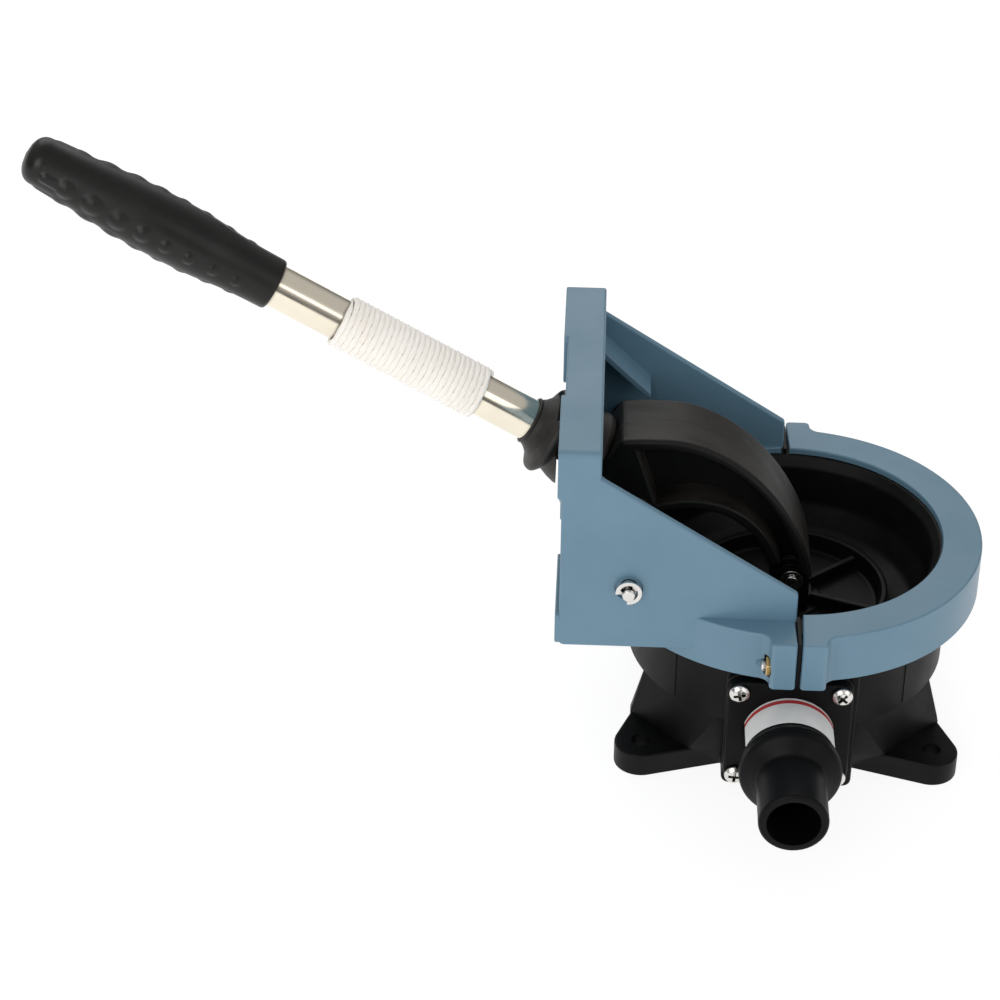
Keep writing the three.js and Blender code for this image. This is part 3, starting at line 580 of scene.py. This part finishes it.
def stud_tools():
    deep = STUD["right"] + GAP
    return [rod(STUD["blind"], 0, deep, "x", (end * LUG["hole_y"], LUG["z"]), 24) for end in (-1, 1)]


def nut_tools():
    tools = []
    for end in (-1, 1):
        centre = (end * LUG["hole_y"], LUG["z"])
        tools.append(rod(STUD["hole"], -15, 1, "x", centre, 24))
        tools.append(rod(NUT["pocket"], NUT["pocket_end"], NUT["inner"] + GAP, "x", centre, 40))
    return tools


def half_ring(side):
    outline = [(side * x, y) for x, y in clamp_outline()]
    return prism("half_ring", outline, RING["bottom"], RING["top"], "z", (0.6, 0.75), 3)


def clamp_half():
    half = cut(half_ring(1), seat_tool(), *stud_tools())
    finish_piece(half, "clamp_half_moulding", BLUE_FINISH, "root", ["clamp_half"])


clamp_half()


# ---- bracket ----
def cheek(side):
    corners = [
        (PLATE["out"], PLATE["bottom"], 2),
        (-40, PLATE["bottom"], 0),
        (-RING["split"] - 4, RING["top"] - 4, 0),
        (-RING["split"], RING["top"] - 1, 0),
        (-RING["split"], CHEEK["end"], 1.6),
        (PLATE["into"], CHEEK["top"], 0),
        (PLATE["out"], CHEEK["top"], 0),
    ]
    low, high = span(side, PLATE["half"] - CHEEK["thick"], PLATE["half"])
    return prism("cheek", rounded(corners, 4), low, high, "y", 0.8, 3)


def plate_outline(grow, radius):
    half = PLATE["half"] + grow
    return rectangle(-half, half, PLATE["bottom"] - grow, PLATE["top"] + grow, radius, radius)


def bulkhead_plate():
    shell = prism("shell", plate_outline(0, 2.6), PLATE["out"], PLATE["into"], "x", (1.0, 1.0), 3)
    wall = PLATE["wall"]
    back, front = PLATE["out"] + PLATE["skin"], PLATE["into"] + 2
    hollow = prism("hollow", plate_outline(-wall, 2.0), back, front, "x", (1.2, 0))
    face, buried = PLATE["out"] - MOUNT["proud"], PLATE["out"] + 2
    collar = rod(COLLAR["outer"], face, buried, "x", COLLAR_AXIS, 72, 0.6)
    pads = []
    for low, high in ((PLATE["bottom"], MOUNT["low_top"]), (MOUNT["high_bottom"], PLATE["top"])):
        for side in (1, -1):
            outline = rectangle(*span(side, MOUNT["inner"], PLATE["half"]), low, high, 2.6, 2.6)
            pads.append(prism("pad", outline, face, buried, "x", (0.6, 0), 3))
    return join(cut(shell, hollow), collar, *pads)


def bracket_floor():
    half = PLATE["half"] - 1
    slab = box(PLATE["out"] + 1, -30, -half, half, PLATE["bottom"], PLATE["bottom"] + PLATE["wall"])
    return cut(slab, rod(RING["r"] - 1, 0, 100, "z", (0, 0), 128))


def ramp(side):
    """The sloping rib between the plate's inside and a cheek."""
    top, bottom, right, drop = RAMP["top"], RAMP["bottom"], RAMP["right"], 1.4 * RAMP["thick"]
    deep = PLATE["out"] + PLATE["skin"] - 1
    rise = (top - bottom) / (right - PLATE["into"]) * (PLATE["into"] - deep)
    outline = [
        (deep, top + rise),
        (deep, top + rise - drop),
        (right, bottom - drop, 0.9),
        (right, bottom, 0.9),
    ]
    low, high = span(side, RAMP["inner"], PLATE["half"] - 1.4)
    return prism("ramp", rounded(outline, 3), low, high, "y", rims(side, 0, 0.6))


def bracket():
    whole = join(half_ring(-1), cheek(-1), cheek(1), bulkhead_plate(), bracket_floor(), ramp(-1), ramp(1))
    places = [(side * MOUNT["y"], MOUNT[level]) for side in (-1, 1) for level in ("low", "high")]
    outside, inside = PLATE["out"] - 9, PLATE["out"] + 9
    holes = [rod(MOUNT["r"], outside, inside, "x", place, 24) for place in places]
    opening = rod(COLLAR["hole"], outside, inside, "x", COLLAR_AXIS, 72)
    pin = [rod(PIN["r"] + 0.2, -70, 70, "y", PIVOT_AXIS, 40)]
    for side in (-1, 1):
        pin.append(rod(BORE["r"], *span(side, BORE["floor"], 70), "y", PIVOT_AXIS, 48))
    cut(whole, seat_tool(), opening, *pin, *holes, *nut_tools())
    name = "bulkhead_bracket"
    finish_piece(whole, name + "_moulding", BLUE_FINISH, "root", [name])


bracket()


# ---- body ----
def four_corners(corner):
    half = corner + [(-x, y) for x, y in corner[::-1]]
    return half + [(-x, -y) for x, y in half]


def chamfer_corner(y):
    """One corner of the hull low down, from its side to its front."""
    far = HULL["facet"] * math.sqrt(2)
    reach = far - HULL["x"] - y
    steps = [i / HULL["steps"] for i in range(HULL["steps"] + 1)]
    return [(HULL["x"] + reach * t, far - HULL["x"] - reach * t) for t in steps]


def hull():
    """Flat chamfers at the feet turn into the barrel's circle at the waist."""
    start = math.degrees(math.acos(HULL["top_x"] / BODY["r"]))
    end = math.degrees(math.asin(HULL["top_y"] / BODY["r"]))
    low = four_corners(chamfer_corner(HULL["low_y"]))
    middle = four_corners(chamfer_corner(HULL["mid_y"]))
    high = four_corners(arc(0, 0, BODY["r"] - 0.1, start, end, HULL["steps"]))
    levels = [
        (inset(low, 0.5), 0),
        (inset(low, 0.1), 0.2),
        (low, 0.6),
        (middle, FOOT["top"]),
        (high, BODY["waist"]),
    ]
    return skin("hull", [[(x, y, z) for x, y in loop] for loop, z in levels])


def foot(sx, sy):
    """A round pad with tangents back to the hull."""
    tip = [(round(x, 3), round(y, 3)) for x, y in arc(FOOT["x"], FOOT["y"], FOOT["r"], 0, 360, 48)[:-1]]
    outline = hull_of(tip + [(25, HULL["low_y"]), (57, 25), (25, 20)])
    outline = [(sx * x, sy * y) for x, y in outline]
    return prism("foot", outline, 0, FOOT["top"], "z", (0.5, 0.9))


def port_outline(size):
    x, z, half, radius = PORT["x"], PORT["z"], size / 2, PORT["corner"]
    return rectangle(x - half, x + half, z - half, z + half, radius, radius, 6)


def port_places():
    x, z, half = PORT["x"], PORT["z"], PORT["spacing"] / 2
    return [(x - half, z + half), (x + half, z + half), (x - half, z - half), (x + half, z - half)]


def hole_tools(side, near, far):
    low, high = span(side, near, far)
    return [rod(SCREW["hole"], low, high, "y", place, 20) for place in port_places()]


def barrel():
    flange, top, bottom = BODY["flange"], BODY["flange_top"], BODY["flange_bottom"]
    return lathe("barrel", rounded([
        (0, BODY["waist"] - 0.3),
        (BODY["r"], BODY["waist"] - 0.3, 0.25),
        (BODY["r"], bottom, 1.5),
        (flange, bottom, 0.8),
        (flange, top, 0.8),
        (0, top),
    ], 4), 128)


def port_pad(side):
    outline = rectangle(PAD["left"], PAD["right"], PAD["bottom"], PAD["top"], 3, 4)
    return prism("pad", outline, *span(side, 40, PORT["pad"]), "y", rims(side, 1.0, 0))


def barrel_seam(turn):
    """A raised parting line up the barrel, turned to its place in degrees."""
    half, proud = 0.25, 0.25
    seam = box(BODY["r"] - 2, BODY["r"] + proud, -half, half, BODY["waist"] + 1, BODY["flange_bottom"] + 1)
    seam.data.transform(Matrix.Rotation(math.radians(turn), 4, "Z"))
    return seam


def side_recess(side):
    return box(*span(side, RECESS["x"], 80), -RECESS["y"], RECESS["y"], -1, RECESS["top"])


def chamber():
    top = BODY["flange_top"] + 1
    return lathe("chamber", rounded([
        (0, BODY["floor"]),
        (42, BODY["floor"]),
        (50, 15, 3),
        (50, 35, 4),
        (56.6, 45, 4),
        (56.6, top),
        (0, top),
    ], 4), 96)


def pump_body():
    signs = [(sx, sy) for sx in (-1, 1) for sy in (-1, 1)]
    pads = [port_pad(side) for side in (-1, 1)]
    seams = [barrel_seam(side * turn) for side in (-1, 1) for turn in (45, 135)]
    feet = [foot(sx, sy) for sx, sy in signs]
    core = cut(hull(), side_recess(-1), side_recess(1))
    body = join(core, barrel(), *pads, *seams, *feet)
    tools = [
        chamber(),
        rod(PORT["seat"], -62, -30, "y", PORT_AXIS, 48),
        rod(PORT["room"], 30, 62, "y", PORT_AXIS, 48),
    ]
    for side in (-1, 1):
        tools += hole_tools(side, 52, 62)
    for sx, sy in signs:
        tools.append(rod(FOOT["hole"], -1, 12, "z", (sx * FOOT["x"], sy * FOOT["y"]), 40))
    cut(body, *tools)
    finish_piece(body, "pump_body_moulding", BLACK_FINISH, "root", ["pump_body"])


pump_body()


# ---- hose tails ----
def hose_tail(side, name):
    """A stepped tail on a square flange; the outlet's has room inside for its flap to open."""
    profile = rounded([
        (0, TAIL["face"] - 1),
        (TAIL["neck"], TAIL["face"] - 1),
        (TAIL["neck"], 83.4, 0.5),
        (TAIL["bead"] - 0.4, 87.2, 1.4),
        (TAIL["bead"] - 0.9, 88.2, 0.4),
        (TAIL["bead"], 89.0, 1.0),
        (TAIL["bead"] - 0.2, 92.0, 2.2),
        (TAIL["spigot"] + 2.6, 94.2, 1.6),
        (TAIL["spigot"], 96.2, 1.4),
        (TAIL["spigot"], TAIL["end"], 1.3),
        (0, TAIL["end"]),
    ], 4)
    throat, throat_end = (PORT["room"], 84.9) if side < 0 else (TAIL["bore"], 66)
    bore = rounded([
        (0, 60),
        (throat, 60),
        (throat, throat_end),
        (TAIL["bore"], 89),
        (TAIL["bore"], TAIL["end"] - 0.6),
        (TAIL["bore"] + 0.8, TAIL["end"] + 1),
        (0, TAIL["end"] + 1),
    ], 2)
    stem = lathe("stem", [(r, side * h) for r, h in profile], 96, "y", PORT_AXIS)
    low, high = span(side, TAIL["plate"], TAIL["face"])
    plate = prism("plate", port_outline(PORT["size"]), low, high, "y", rims(side, 1.2, 0.5))
    tail = join(plate, stem)
    hollow = lathe("hollow", [(r, side * h) for r, h in bore], 64, "y", PORT_AXIS)
    cut(tail, hollow, *hole_tools(side, 62, 69))
    finish_piece(tail, name + "_tail_moulding", TAIL_FINISH, "root", [name + "_hose_tail"])


def gasket(side, name):
    low, high = span(side, VALVE["near"], VALVE["far"])
    sheet = prism("gasket", port_outline(PORT["size"] + 0.5), low, high, "y", 0.4)
    cut(sheet, rod(PORT["room"], -70, 70, "y", PORT_AXIS, 48), *hole_tools(side, 60, 64))
    finish_piece(sheet, name + "_gasket_sheet", RUBBER_FINISH, "root", [name + "_gasket"])


def valve_flap(side, name):
    disc = rod(VALVE["r"], *span(side, VALVE["near"], VALVE["far"]), "y", PORT_AXIS, 48, 0.4)
    stud = rod(VALVE["stud"], *span(side, VALVE["stud_near"], VALVE["stud_far"]), "y", PORT_AXIS, 24, 0.3)
    disc = join(disc, stud)
    finish_piece(disc, name + "_flap_disc", RUBBER_FINISH, name + "_valve", [name + "_flap"])


def pan_head():
    """A pan-head screw along +Z with a cross recess, its head's underside at zero."""
    r, height, reach, shank = SCREW["r"], SCREW["height"], SCREW["reach"], SCREW["shank"]
    body = lathe("screw", rounded([
        (0, -reach),
        (shank * 0.6, -reach),
        (shank, -reach + 1.4),
        (shank, 0),
        (r, 0, 0.3),
        (r, height * 0.42, 0.7),
        (r * 0.66, height * 0.9, 1.4),
        (0, height),
    ], 3), 40)
    half, wide = r * 0.60, r * 0.15
    outline = [(-half, -wide), (half, -wide), (half, wide), (-half, wide)]
    blades = []
    for turn in (0, 90):
        blade = prism("blade", outline, height - SCREW["recess"], height + 1, "z", 0)
        blade.data.transform(Matrix.Rotation(math.radians(turn + 22), 4, "Z"))
        blades.append(blade)
    return cut(body, *blades)


def port_screws(side, name):
    for i, (x, z) in enumerate(port_places()):
        screw = pan_head()
        turn = Matrix.Rotation(math.radians(37 * i + 11 * side), 4, "Z")
        face = Matrix.Rotation(math.radians(90 if side < 0 else -90), 4, "X")
        place = Matrix.Translation((x, side * (TAIL["face"] + GAP), z))
        screw.data.transform(place @ face @ turn)
        label = f"{name}_screw_{i + 1}"
        finish_piece(screw, label + "_pan_head", STEEL_FINISH, "root", [label])


def label_wrap():
    half = math.degrees(LABEL["half_turn"])
    outer = arc(*PORT_AXIS, LABEL["outer"], 90 - half, 90 + half, 48)
    inner = arc(*PORT_AXIS, LABEL["inner"], 90 + half, 90 - half, 48)
    film = prism("label", outer + inner, -LABEL["end"], -TAIL["face"] - GAP, "y", 0.05, 1)
    finish_piece(film, "label_film", FILM_FINISH, "root", ["label"])


for port_side, port_name in ((-1, "outlet"), (1, "inlet")):
    hose_tail(port_side, port_name)
    gasket(port_side, port_name)
    valve_flap(port_side, port_name)
    port_screws(port_side, port_name)
label_wrap()


# ---- clamp studs and nuts, and the rubber that shows in the gap ----
def clamp_fasteners(end, name):
    centre = (end * LUG["hole_y"], LUG["z"])
    hexagon = [(u, v, 0.5) for u, v in arc(*centre, NUT["r"], 30, 330, 5)]
    nut = prism("nut", rounded(hexagon, 3), NUT["outer"], NUT["inner"], "x", 0.35, 3)
    cut(nut, rod(NUT["bore"], NUT["outer"] - 9, NUT["inner"] + 9, "x", centre, 24))
    finish_piece(nut, f"clamp_nut_{name}_hex", BRASS_FINISH, "root", [f"clamp_nut_{name}"])
    stud = lathe("stud", rounded([
        (0, STUD["left"]),
        (STUD["r"], STUD["left"], 0.6),
        (STUD["r"], STUD["root_start"]),
        (STUD["root"], STUD["root_start"], 0.3),
        (STUD["root"], STUD["right"], 0.3),
        (0, STUD["right"]),
    ], 3), 32, "x", centre)
    finish_piece(stud, f"clamp_stud_{name}_rod", STEEL_FINISH, "root", [f"clamp_stud_{name}"])
    low, high = span(end, STRIP["near"], STRIP["far"])
    strip = box(-STRIP["half"], STRIP["half"], low, high, STRIP["bottom"], STRIP["top"], 0.15)
    cut(strip, rod(STUD["hole"], -3, 3, "x", centre, 24))
    finish_piece(strip, f"split_strip_{name}", RUBBER_FINISH, "root")


clamp_fasteners(-1, "front")
clamp_fasteners(1, "rear")


# ---- diaphragm stack ----
def diaphragm():
    bead, seat = RING["top"] - RING["lip"] - GAP, BODY["flange_top"] + GAP
    sheet = lathe("diaphragm", rounded([
        (5.4, 39.0),
        (38.5, 39.0, 3),
        (50, 43.3, 5),
        (56, 53.8, 4),
        (56.2, seat, 0.5),
        (66.4, seat, 0.5),
        (66.4, bead, 1.0),
        (56.6, bead, 1.2),
        (53.8, 70.2, 3.0),
        (53.6, 54.8, 6),
        (48.4, 45.8, 5),
        (38.5, 41.2, 4),
        (5.4, 41.2),
    ], 6), 128)
    finish_piece(sheet, "diaphragm_sheet", RUBBER_FINISH, None, ["diaphragm"])
    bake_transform(sheet)


def drive_plate():
    dish = lathe("dish", rounded([
        (0, 41.5),
        (38.5, 41.5, 0.8),
        (38.5, 51.5, 1.0),
        (36.0, 51.5, 0.9),
        (35.0, 44.5, 1.6),
        (0, 44.5),
    ], 4), 96)
    parts = []
    for i in range(3):
        rib = box(-35.6, 35.6, -1.2, 1.2, 42.5, 49.4, 0.5)
        rib.data.transform(Matrix.Rotation(math.radians(-20 + 60 * i), 4, "Z"))
        parts.append(rib)
    parts.append(rod(10, 42, 49.5, "z", (0, 0), 48, 1.0))
    parts.append(rod(13.5, 42, 45.6, "z", (0, 0), 48, 0.8))
    for side in (-1, 1):
        x, z, eye = CLEVIS["x"], CLEVIS["z"], CLEVIS["eye"]
        outline = [(x - eye, 43), (x + eye, 43)] + arc(x, z, eye, 0, 180, 24)
        parts.append(prism("ear", outline, *span(side, EAR["inner"], EAR["outer"]), "y", 0.6))
    plate = join(dish, *parts)
    room = rod(CLEVIS["room"], -EAR["inner"], EAR["inner"], "y", CLEVIS_AXIS, 48)
    pin_hole = rod(CLEVIS["hole"], -20, 20, "y", CLEVIS_AXIS, 32)
    bolt_hole = rod(BOLT["hole"], 30, 60, "z", (0, 0), 32)
    cut(plate, room, pin_hole, bolt_hole)
    finish_piece(plate, "drive_plate_moulding", PLATE_FINISH, "plate", ["drive_plate"])


def backing_plate():
    disc = lathe("backing", rounded([
        (BOLT["hole"], BACKING["bottom"]),
        (32, BACKING["bottom"], 1.0),
        (34, 36.7, 0.8),
        (34, BACKING["top"], 0.6),
        (BOLT["hole"], BACKING["top"]),
    ], 3), 72)
    finish_piece(disc, "backing_plate_disc", PLATE_FINISH, "plate", ["backing_plate"])


def centre_bolt():
    hexagon = [(u, v, 0.8) for u, v in arc(0, 0, BOLT["head"], 0, 300, 5)]
    head = prism("head", rounded(hexagon, 3), BOLT["bottom"], BOLT["seat"], "z", (0.5, 0.2))
    bolt = join(head, rod(BOLT["r"], 34.3, BOLT["top"], "z", (0, 0), 32, 0.5))
    finish_piece(bolt, "centre_bolt_hex", STEEL_FINISH, "plate", ["centre_bolt"])


def clevis():
    near = EAR["outer"] + GAP
    head = rod(CLEVIS["head"], near, 11.5, "y", CLEVIS_AXIS, 32, 0.4)
    pin = join(head, rod(CLEVIS["r"], -12, 10.6, "y", CLEVIS_AXIS, 32, 0.5))
    finish_piece(pin, "clevis_pin_rod", STEEL_FINISH, "plate", ["clevis_pin"])
    clip = rod(CLEVIS["clip"], -10.8, -near, "y", CLEVIS_AXIS, 32, 0.25)
    cut(clip, rod(CLEVIS["r"] + 0.1, -20, 0, "y", CLEVIS_AXIS, 32))
    finish_piece(clip, "clevis_clip_ring", STEEL_FINISH, "plate", ["clevis_clip"])


diaphragm()
drive_plate()
backing_plate()
centre_bolt()
clevis()


# ---- lever ----
def arm_curves():
    """The top edge of the arm: its start, the knee, the two handles of its curve, and its end."""
    start, knee = (-66, 122.5), (-50, 123.2)
    a, b, end = (-18, 123.2), (7, 85), (8, 62)
    return start, knee, a, b, end


def outer_band():
    depth = 5
    start, knee, a, b, end = arm_curves()
    top = [start + (2.2,), (-58, 123.1)] + bezier(knee, a, b, end, 40)[:-2] + [end]
    low_end, low_knee = (end[0] - depth, end[1]), (knee[0], knee[1] - depth)
    under = bezier(low_end, (b[0] - depth, b[1] - 1), (a[0] - depth / 3, a[1] - depth), low_knee, 40)
    return rounded(top + under[:1] + under[2:] + [(start[0], start[1] - depth)], 5)


def inner_band():
    depth = 4
    outer = bezier((-56, 93), (-38, 103), (-12, 97), (-4.5, 70), 32)
    inner = bezier((-4.5 - depth, 69), (-12 - depth, 97 - depth), (-38, 103 - depth), (-56, 93 - depth), 32)
    return outer + inner


def web_outline():
    start, knee, a, b, end = arm_curves()
    x, z, eye = CLEVIS["x"], CLEVIS["z"], CLEVIS["eye"]
    outline = [(start[0] + 1, start[1] - 1)] + [(u - 0.8, v - 1) for u, v in bezier(knee, a, b, end, 32)]
    outline += [(x + eye - 0.5, z), (x - eye, z)]
    return outline + bezier((-8, 69), (-16, 94), (-38, 99), (-56, 89), 24)


def lever_arm():
    half = ARM["half"]
    band = prism("band", outer_band(), -half, half, "y", 1.9, 5)
    inner = prism("inner", inner_band(), -half, half, "y", 1.2, 3)
    web = prism("web", web_outline(), -ARM["web"], ARM["web"], "y", 0)
    socket = prism("socket", rounded([
        (-66, 122.5, 2.2),
        (-74.5, 107.8, 3),
        (-72, 88, 4),
        (-56, 82, 3),
        (-52, 95, 3),
        (-61, 122.5, 0),
    ], 4), -half, half, "y", 1.6, 4)
    boss = rod(ARM["boss"], -half - 2, half + 2, "y", PIVOT_AXIS, 48, 0.8)
    eye = rod(CLEVIS["eye"], -ARM["tongue"], ARM["tongue"], "y", CLEVIS_AXIS, 48, 0.6)
    shank_outline = [(0, 8), (ARM["shank"], 8), (ARM["shank"], 62, 0.8), (0, 62)]
    shank = lathe("shank", rounded(shank_outline, 3), 40, matrix=HANDLE)
    arm = join(band, inner, web, socket, boss, eye, shank)
    tools = [rod(ARM["room"], *span(side, ARM["tongue"], 30), "y", CLEVIS_AXIS, 48) for side in (-1, 1)]
    tools.append(rod(CLEVIS["hole"], -30, 30, "y", CLEVIS_AXIS, 32))
    tools.append(rod(PIN["r"] + GAP, -30, 30, "y", PIVOT_AXIS, 32))
    cut(arm, *tools)
    finish_piece(arm, "lever_arm_moulding", ARM_FINISH, "lever", ["lever_arm"])


def handle_tube():
    tube = lathe("tube", rounded([
        (TUBE["bore"], TUBE["start"]),
        (TUBE["r"], TUBE["start"], 0.4),
        (TUBE["r"], TUBE["end"], 0.4),
        (TUBE["bore"], TUBE["end"]),
    ], 3), 72, matrix=HANDLE)
    finish_piece(tube, "handle_tube_drawn", TUBE_FINISH, "lever", ["handle_tube"])


def grip_radius(s):
    """A smooth curve through radii that are evenly spaced from the grip's start to its cap."""
    radii = [10.2, 10.6, 12.0, 12.3, 11.8, 10.6, 9.6]
    t = min(max((s - GRIP["start"]) / (GRIP["cap"] - GRIP["start"]), 0), 1) * (len(radii) - 1)
    k = min(int(t), len(radii) - 2)
    before, after = radii[max(k - 1, 0)], radii[min(k + 2, len(radii) - 1)]
    a, b, f = radii[k], radii[k + 1], t - k
    return 0.5 * (2 * a + (b - before) * f + (2 * before - 5 * a + 4 * b - after) * f ** 2
                  + (3 * a - before - 3 * b + after) * f ** 3)


def grip_base(s):
    """The sleeve's radius between its bumps, with a rounded cap and an eased open end."""
    start, cap, end, valley, lip = GRIP["start"], GRIP["cap"], GRIP["end"], 0.5, 1.2
    base = grip_radius(s) - valley
    if s > cap:
        base *= math.sqrt(max(1 - ((s - cap) / (end - cap)) ** 2.8, 0.0009))
    if s < start + lip:
        base -= 0.5 * (1 - (s - start) / lip) ** 2
    return base


def grip_lift(s, angle, base):
    """How far the bumps stand out: each is (place, size), in rows that are (angle, height)."""
    knobs = [(171.8, 1.9), (181.0, 2.1), (190.8, 2.2), (200.1, 2.3), (209.4, 2.9), (219.0, 3.4), (229.8, 3.6),
             (240.5, 3.3)]
    rows = [(-95, 0.36), (-153, 0.20), (147, 0.20), (87, 0.20), (29, 0.20)]
    bar_place, bar_half, bar_r, bar_size = 246.0, 2.6, 2.6, 2.4
    lift = 0
    for row, height in rows:
        around = (angle - math.radians(row) + math.pi) % (2 * math.pi) - math.pi
        if abs(around) > 0.6:
            continue
        for place, size in knobs:
            far = math.hypot(s - place, around * base) / (size * 1.3)
            if far < 1:
                lift = max(lift, size * height * (1 - far * far) ** 1.5)
        far = math.hypot(max(abs(s - bar_place) - bar_half, 0), around * base) / bar_r
        if far < 1:
            lift = max(lift, height * bar_size * (1 - far * far) ** 1.5)
    return lift


def grip():
    start, end, sides, steps = GRIP["start"], GRIP["end"], 160, 200
    angles = [2 * math.pi * k / sides for k in range(sides)]
    ring = [(GRIP["bore"] * math.cos(angle), GRIP["bore"] * math.sin(angle)) for angle in angles]
    bore = [[(x, y, s) for x, y in ring] for s in (GRIP["cap"], start)]
    loops = []
    for i in range(steps + 1):
        s = start + (end - start) * i / steps
        base = grip_base(s)
        radii = [base + grip_lift(s, angle, base) for angle in angles]
        loops.append([(r * math.cos(angle), r * math.sin(angle), s) for r, angle in zip(radii, angles)])
    piece = skin("grip", bore + loops, matrix=HANDLE)
    finish_piece(piece, "grip_sleeve", GRIP_FINISH, "lever", ["grip"], math.radians(60))


def gaiter():
    """A boot round the handle, trimmed where the plate's rim is, and a collar that fills the plate's hole."""
    boot = lathe("boot", rounded([
        (7.0, 20.6),
        (15.6, 20.6, 1.5),
        (16.4, 23.2, 1.0),
        (15.4, 26.5, 1.0),
        (16.6, 30.0, 1.5),
        (15.6, 33.5, 1.5),
        (13.9, 37.4, 1.6),
        (17.0, 40.6, 1.5),
        (16.2, 42.6, 1.2),
        (12.2, 44.4, 2.0),
        (9.9, 46.8, 1.5),
        (8.9, 48.6, 0.6),
        (9.3, 49.4, 0.3),
        (8.3, 49.7),
        (8.3, 30),
        (7.0, 30),
    ], 5), 96, matrix=HANDLE)
    low, high = PLATE["out"] - MOUNT["proud"] - GAP, PLATE["out"] + PLATE["skin"] + GAP
    fit = COLLAR["hole"] - GAP
    rim = cut(rod(40, low, high, "x", COLLAR_AXIS, 80), rod(fit, low - 1, high + 1, "x", COLLAR_AXIS, 80))
    cut(boot, rim)
    collar = rod(fit, PLATE["out"] - 3.2, PLATE["out"] + 1.5, "x", COLLAR_AXIS, 80, 1.6)
    sleeve = rod(12, -40, 40, "z", (0, 0), 64)
    sleeve.data.transform(HANDLE @ Matrix.Translation((0, 0, 25)))
    join(boot, cut(collar, sleeve))
    finish_piece(boot, "gaiter_boot", BOOT_FINISH, None, ["gaiter"])
    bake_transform(boot)


def clip_outline():
    """An E-clip about the origin: an open ring with a prong at each end and one between two windows."""
    seat, inner = CLIP["seat"], CLIP["inner"]
    stretches = [(262, 284, seat), (291, 382, inner), (392, 418, seat), (428, 519, inner), (526, 548, seat)]
    points = arc(0, 0, CLIP["outer"], 548, 262, 48)
    for start, end, r in stretches:
        points += arc(0, 0, r, start, end, 6)
    return points


def pivot_pin():
    shoulder, neck = PIN["clip"] - GAP, PIN["clip"] + PIN["clip_thick"] + GAP
    half_profile = [
        (PIN["r"], shoulder, 0.3),
        (PIN["groove"], shoulder),
        (PIN["groove"], neck),
        (PIN["tip"], neck, 0.2),
        (PIN["tip"], PIN["end"], 0.4),
    ]
    low_profile = [(corner[0], -corner[1], *corner[2:]) for corner in half_profile[::-1]]
    profile = rounded([(0, -PIN["end"]), *low_profile, *half_profile, (0, PIN["end"])], 3)
    pin = lathe("pin", profile, 40, "y", PIVOT_AXIS)
    finish_piece(pin, "pivot_pin_rod", STEEL_FINISH, "root", ["pivot_pin"])


def pivot_clip(side, end_name):
    name = "pivot_clip_" + end_name
    low, high = span(side, PIN["clip"], PIN["clip"] + PIN["clip_thick"])
    clip = prism("clip", clip_outline(), low, high, "y", 0.15, 2)
    clip.data.transform(Matrix.Translation((PIVOT.x, 0, PIVOT.z)))
    finish_piece(clip, name + "_ring", STEEL_FINISH, "root", [name])


def pivot_spacer(side, end_name):
    name = "pivot_spacer_" + end_name
    low, high = span(side, SPACER["inner"], PLATE["half"] - CHEEK["thick"] - GAP)
    spacer = rod(SPACER["r"], low, high, "y", PIVOT_AXIS, 48, 0.8)
    cut(spacer, rod(PIN["r"] + 0.1, -99, 99, "y", PIVOT_AXIS, 32))
    finish_piece(spacer, name + "_tube", BLACK_FINISH, "root", [name])


lever_arm()
handle_tube()
grip()
gaiter()
pivot_pin()
for pivot_side, pivot_end in ((-1, "front"), (1, "rear")):
    pivot_clip(pivot_side, pivot_end)
    pivot_spacer(pivot_side, pivot_end)


# ---- stage ----
def make_world():
    """White light that grows with height."""
    world = bpy.data.worlds.new("studio")
    world.use_nodes = True
    links, nodes = world.node_tree.links, world.node_tree.nodes
    nodes["Background"].inputs["Color"].default_value = (1, 1, 1, 1)
    height = nodes.new("ShaderNodeSeparateXYZ")
    links.new(nodes.new("ShaderNodeTexCoord").outputs["Generated"], height.inputs[0])
    rise = nodes.new("ShaderNodeMapRange")
    links.new(height.outputs["Z"], rise.inputs["Value"])
    for key, amount in (("From Min", 0.05), ("From Max", 0.6), ("To Min", 0.09), ("To Max", 0.50)):
        rise.inputs[key].default_value = amount
    links.new(rise.outputs["Result"], nodes["Background"].inputs["Strength"])
    bpy.context.scene.world = world


def make_floor():
    paper = Shader("floor_paper")
    paper.set("Base Color", (0.20, 0.20, 0.20, 1))
    paper.set("Roughness", 0.9)
    paper.set("Emission Color", (1, 1, 1, 1))
    paper.set("Emission Strength", 0.88)
    half = 4000
    corners = [(-half, -half, 0), (half, -half, 0), (half, half, 0), (-half, half, 0)]
    floor = mesh_object("floor", corners, [(0, 1, 2, 3)])
    floor.data.transform(Matrix.Scale(MM, 4))
    floor.data.materials.append(paper.material)


def make_lamp(name, place, size, power):
    lamp = bpy.data.lights.new(name, "AREA")
    lamp.size = size
    lamp.energy = power
    holder = bpy.data.objects.new(name, lamp)
    holder.location = place
    holder.rotation_euler = (Vector((0, 0, 0.08)) - Vector(place)).to_track_quat("-Z", "Y").to_euler()
    bpy.context.scene.collection.objects.link(holder)


make_world()
bpy.context.scene.view_settings.view_transform = "Standard"
make_floor()
make_lamp("key", (-0.7, -1.5, 0.8), 1.1, 10.5)
make_lamp("fill", (1.1, -1.2, 0.7), 1.2, 5)
make_lamp("back", (-0.3, 1.2, 1.1), 1.4, 7)
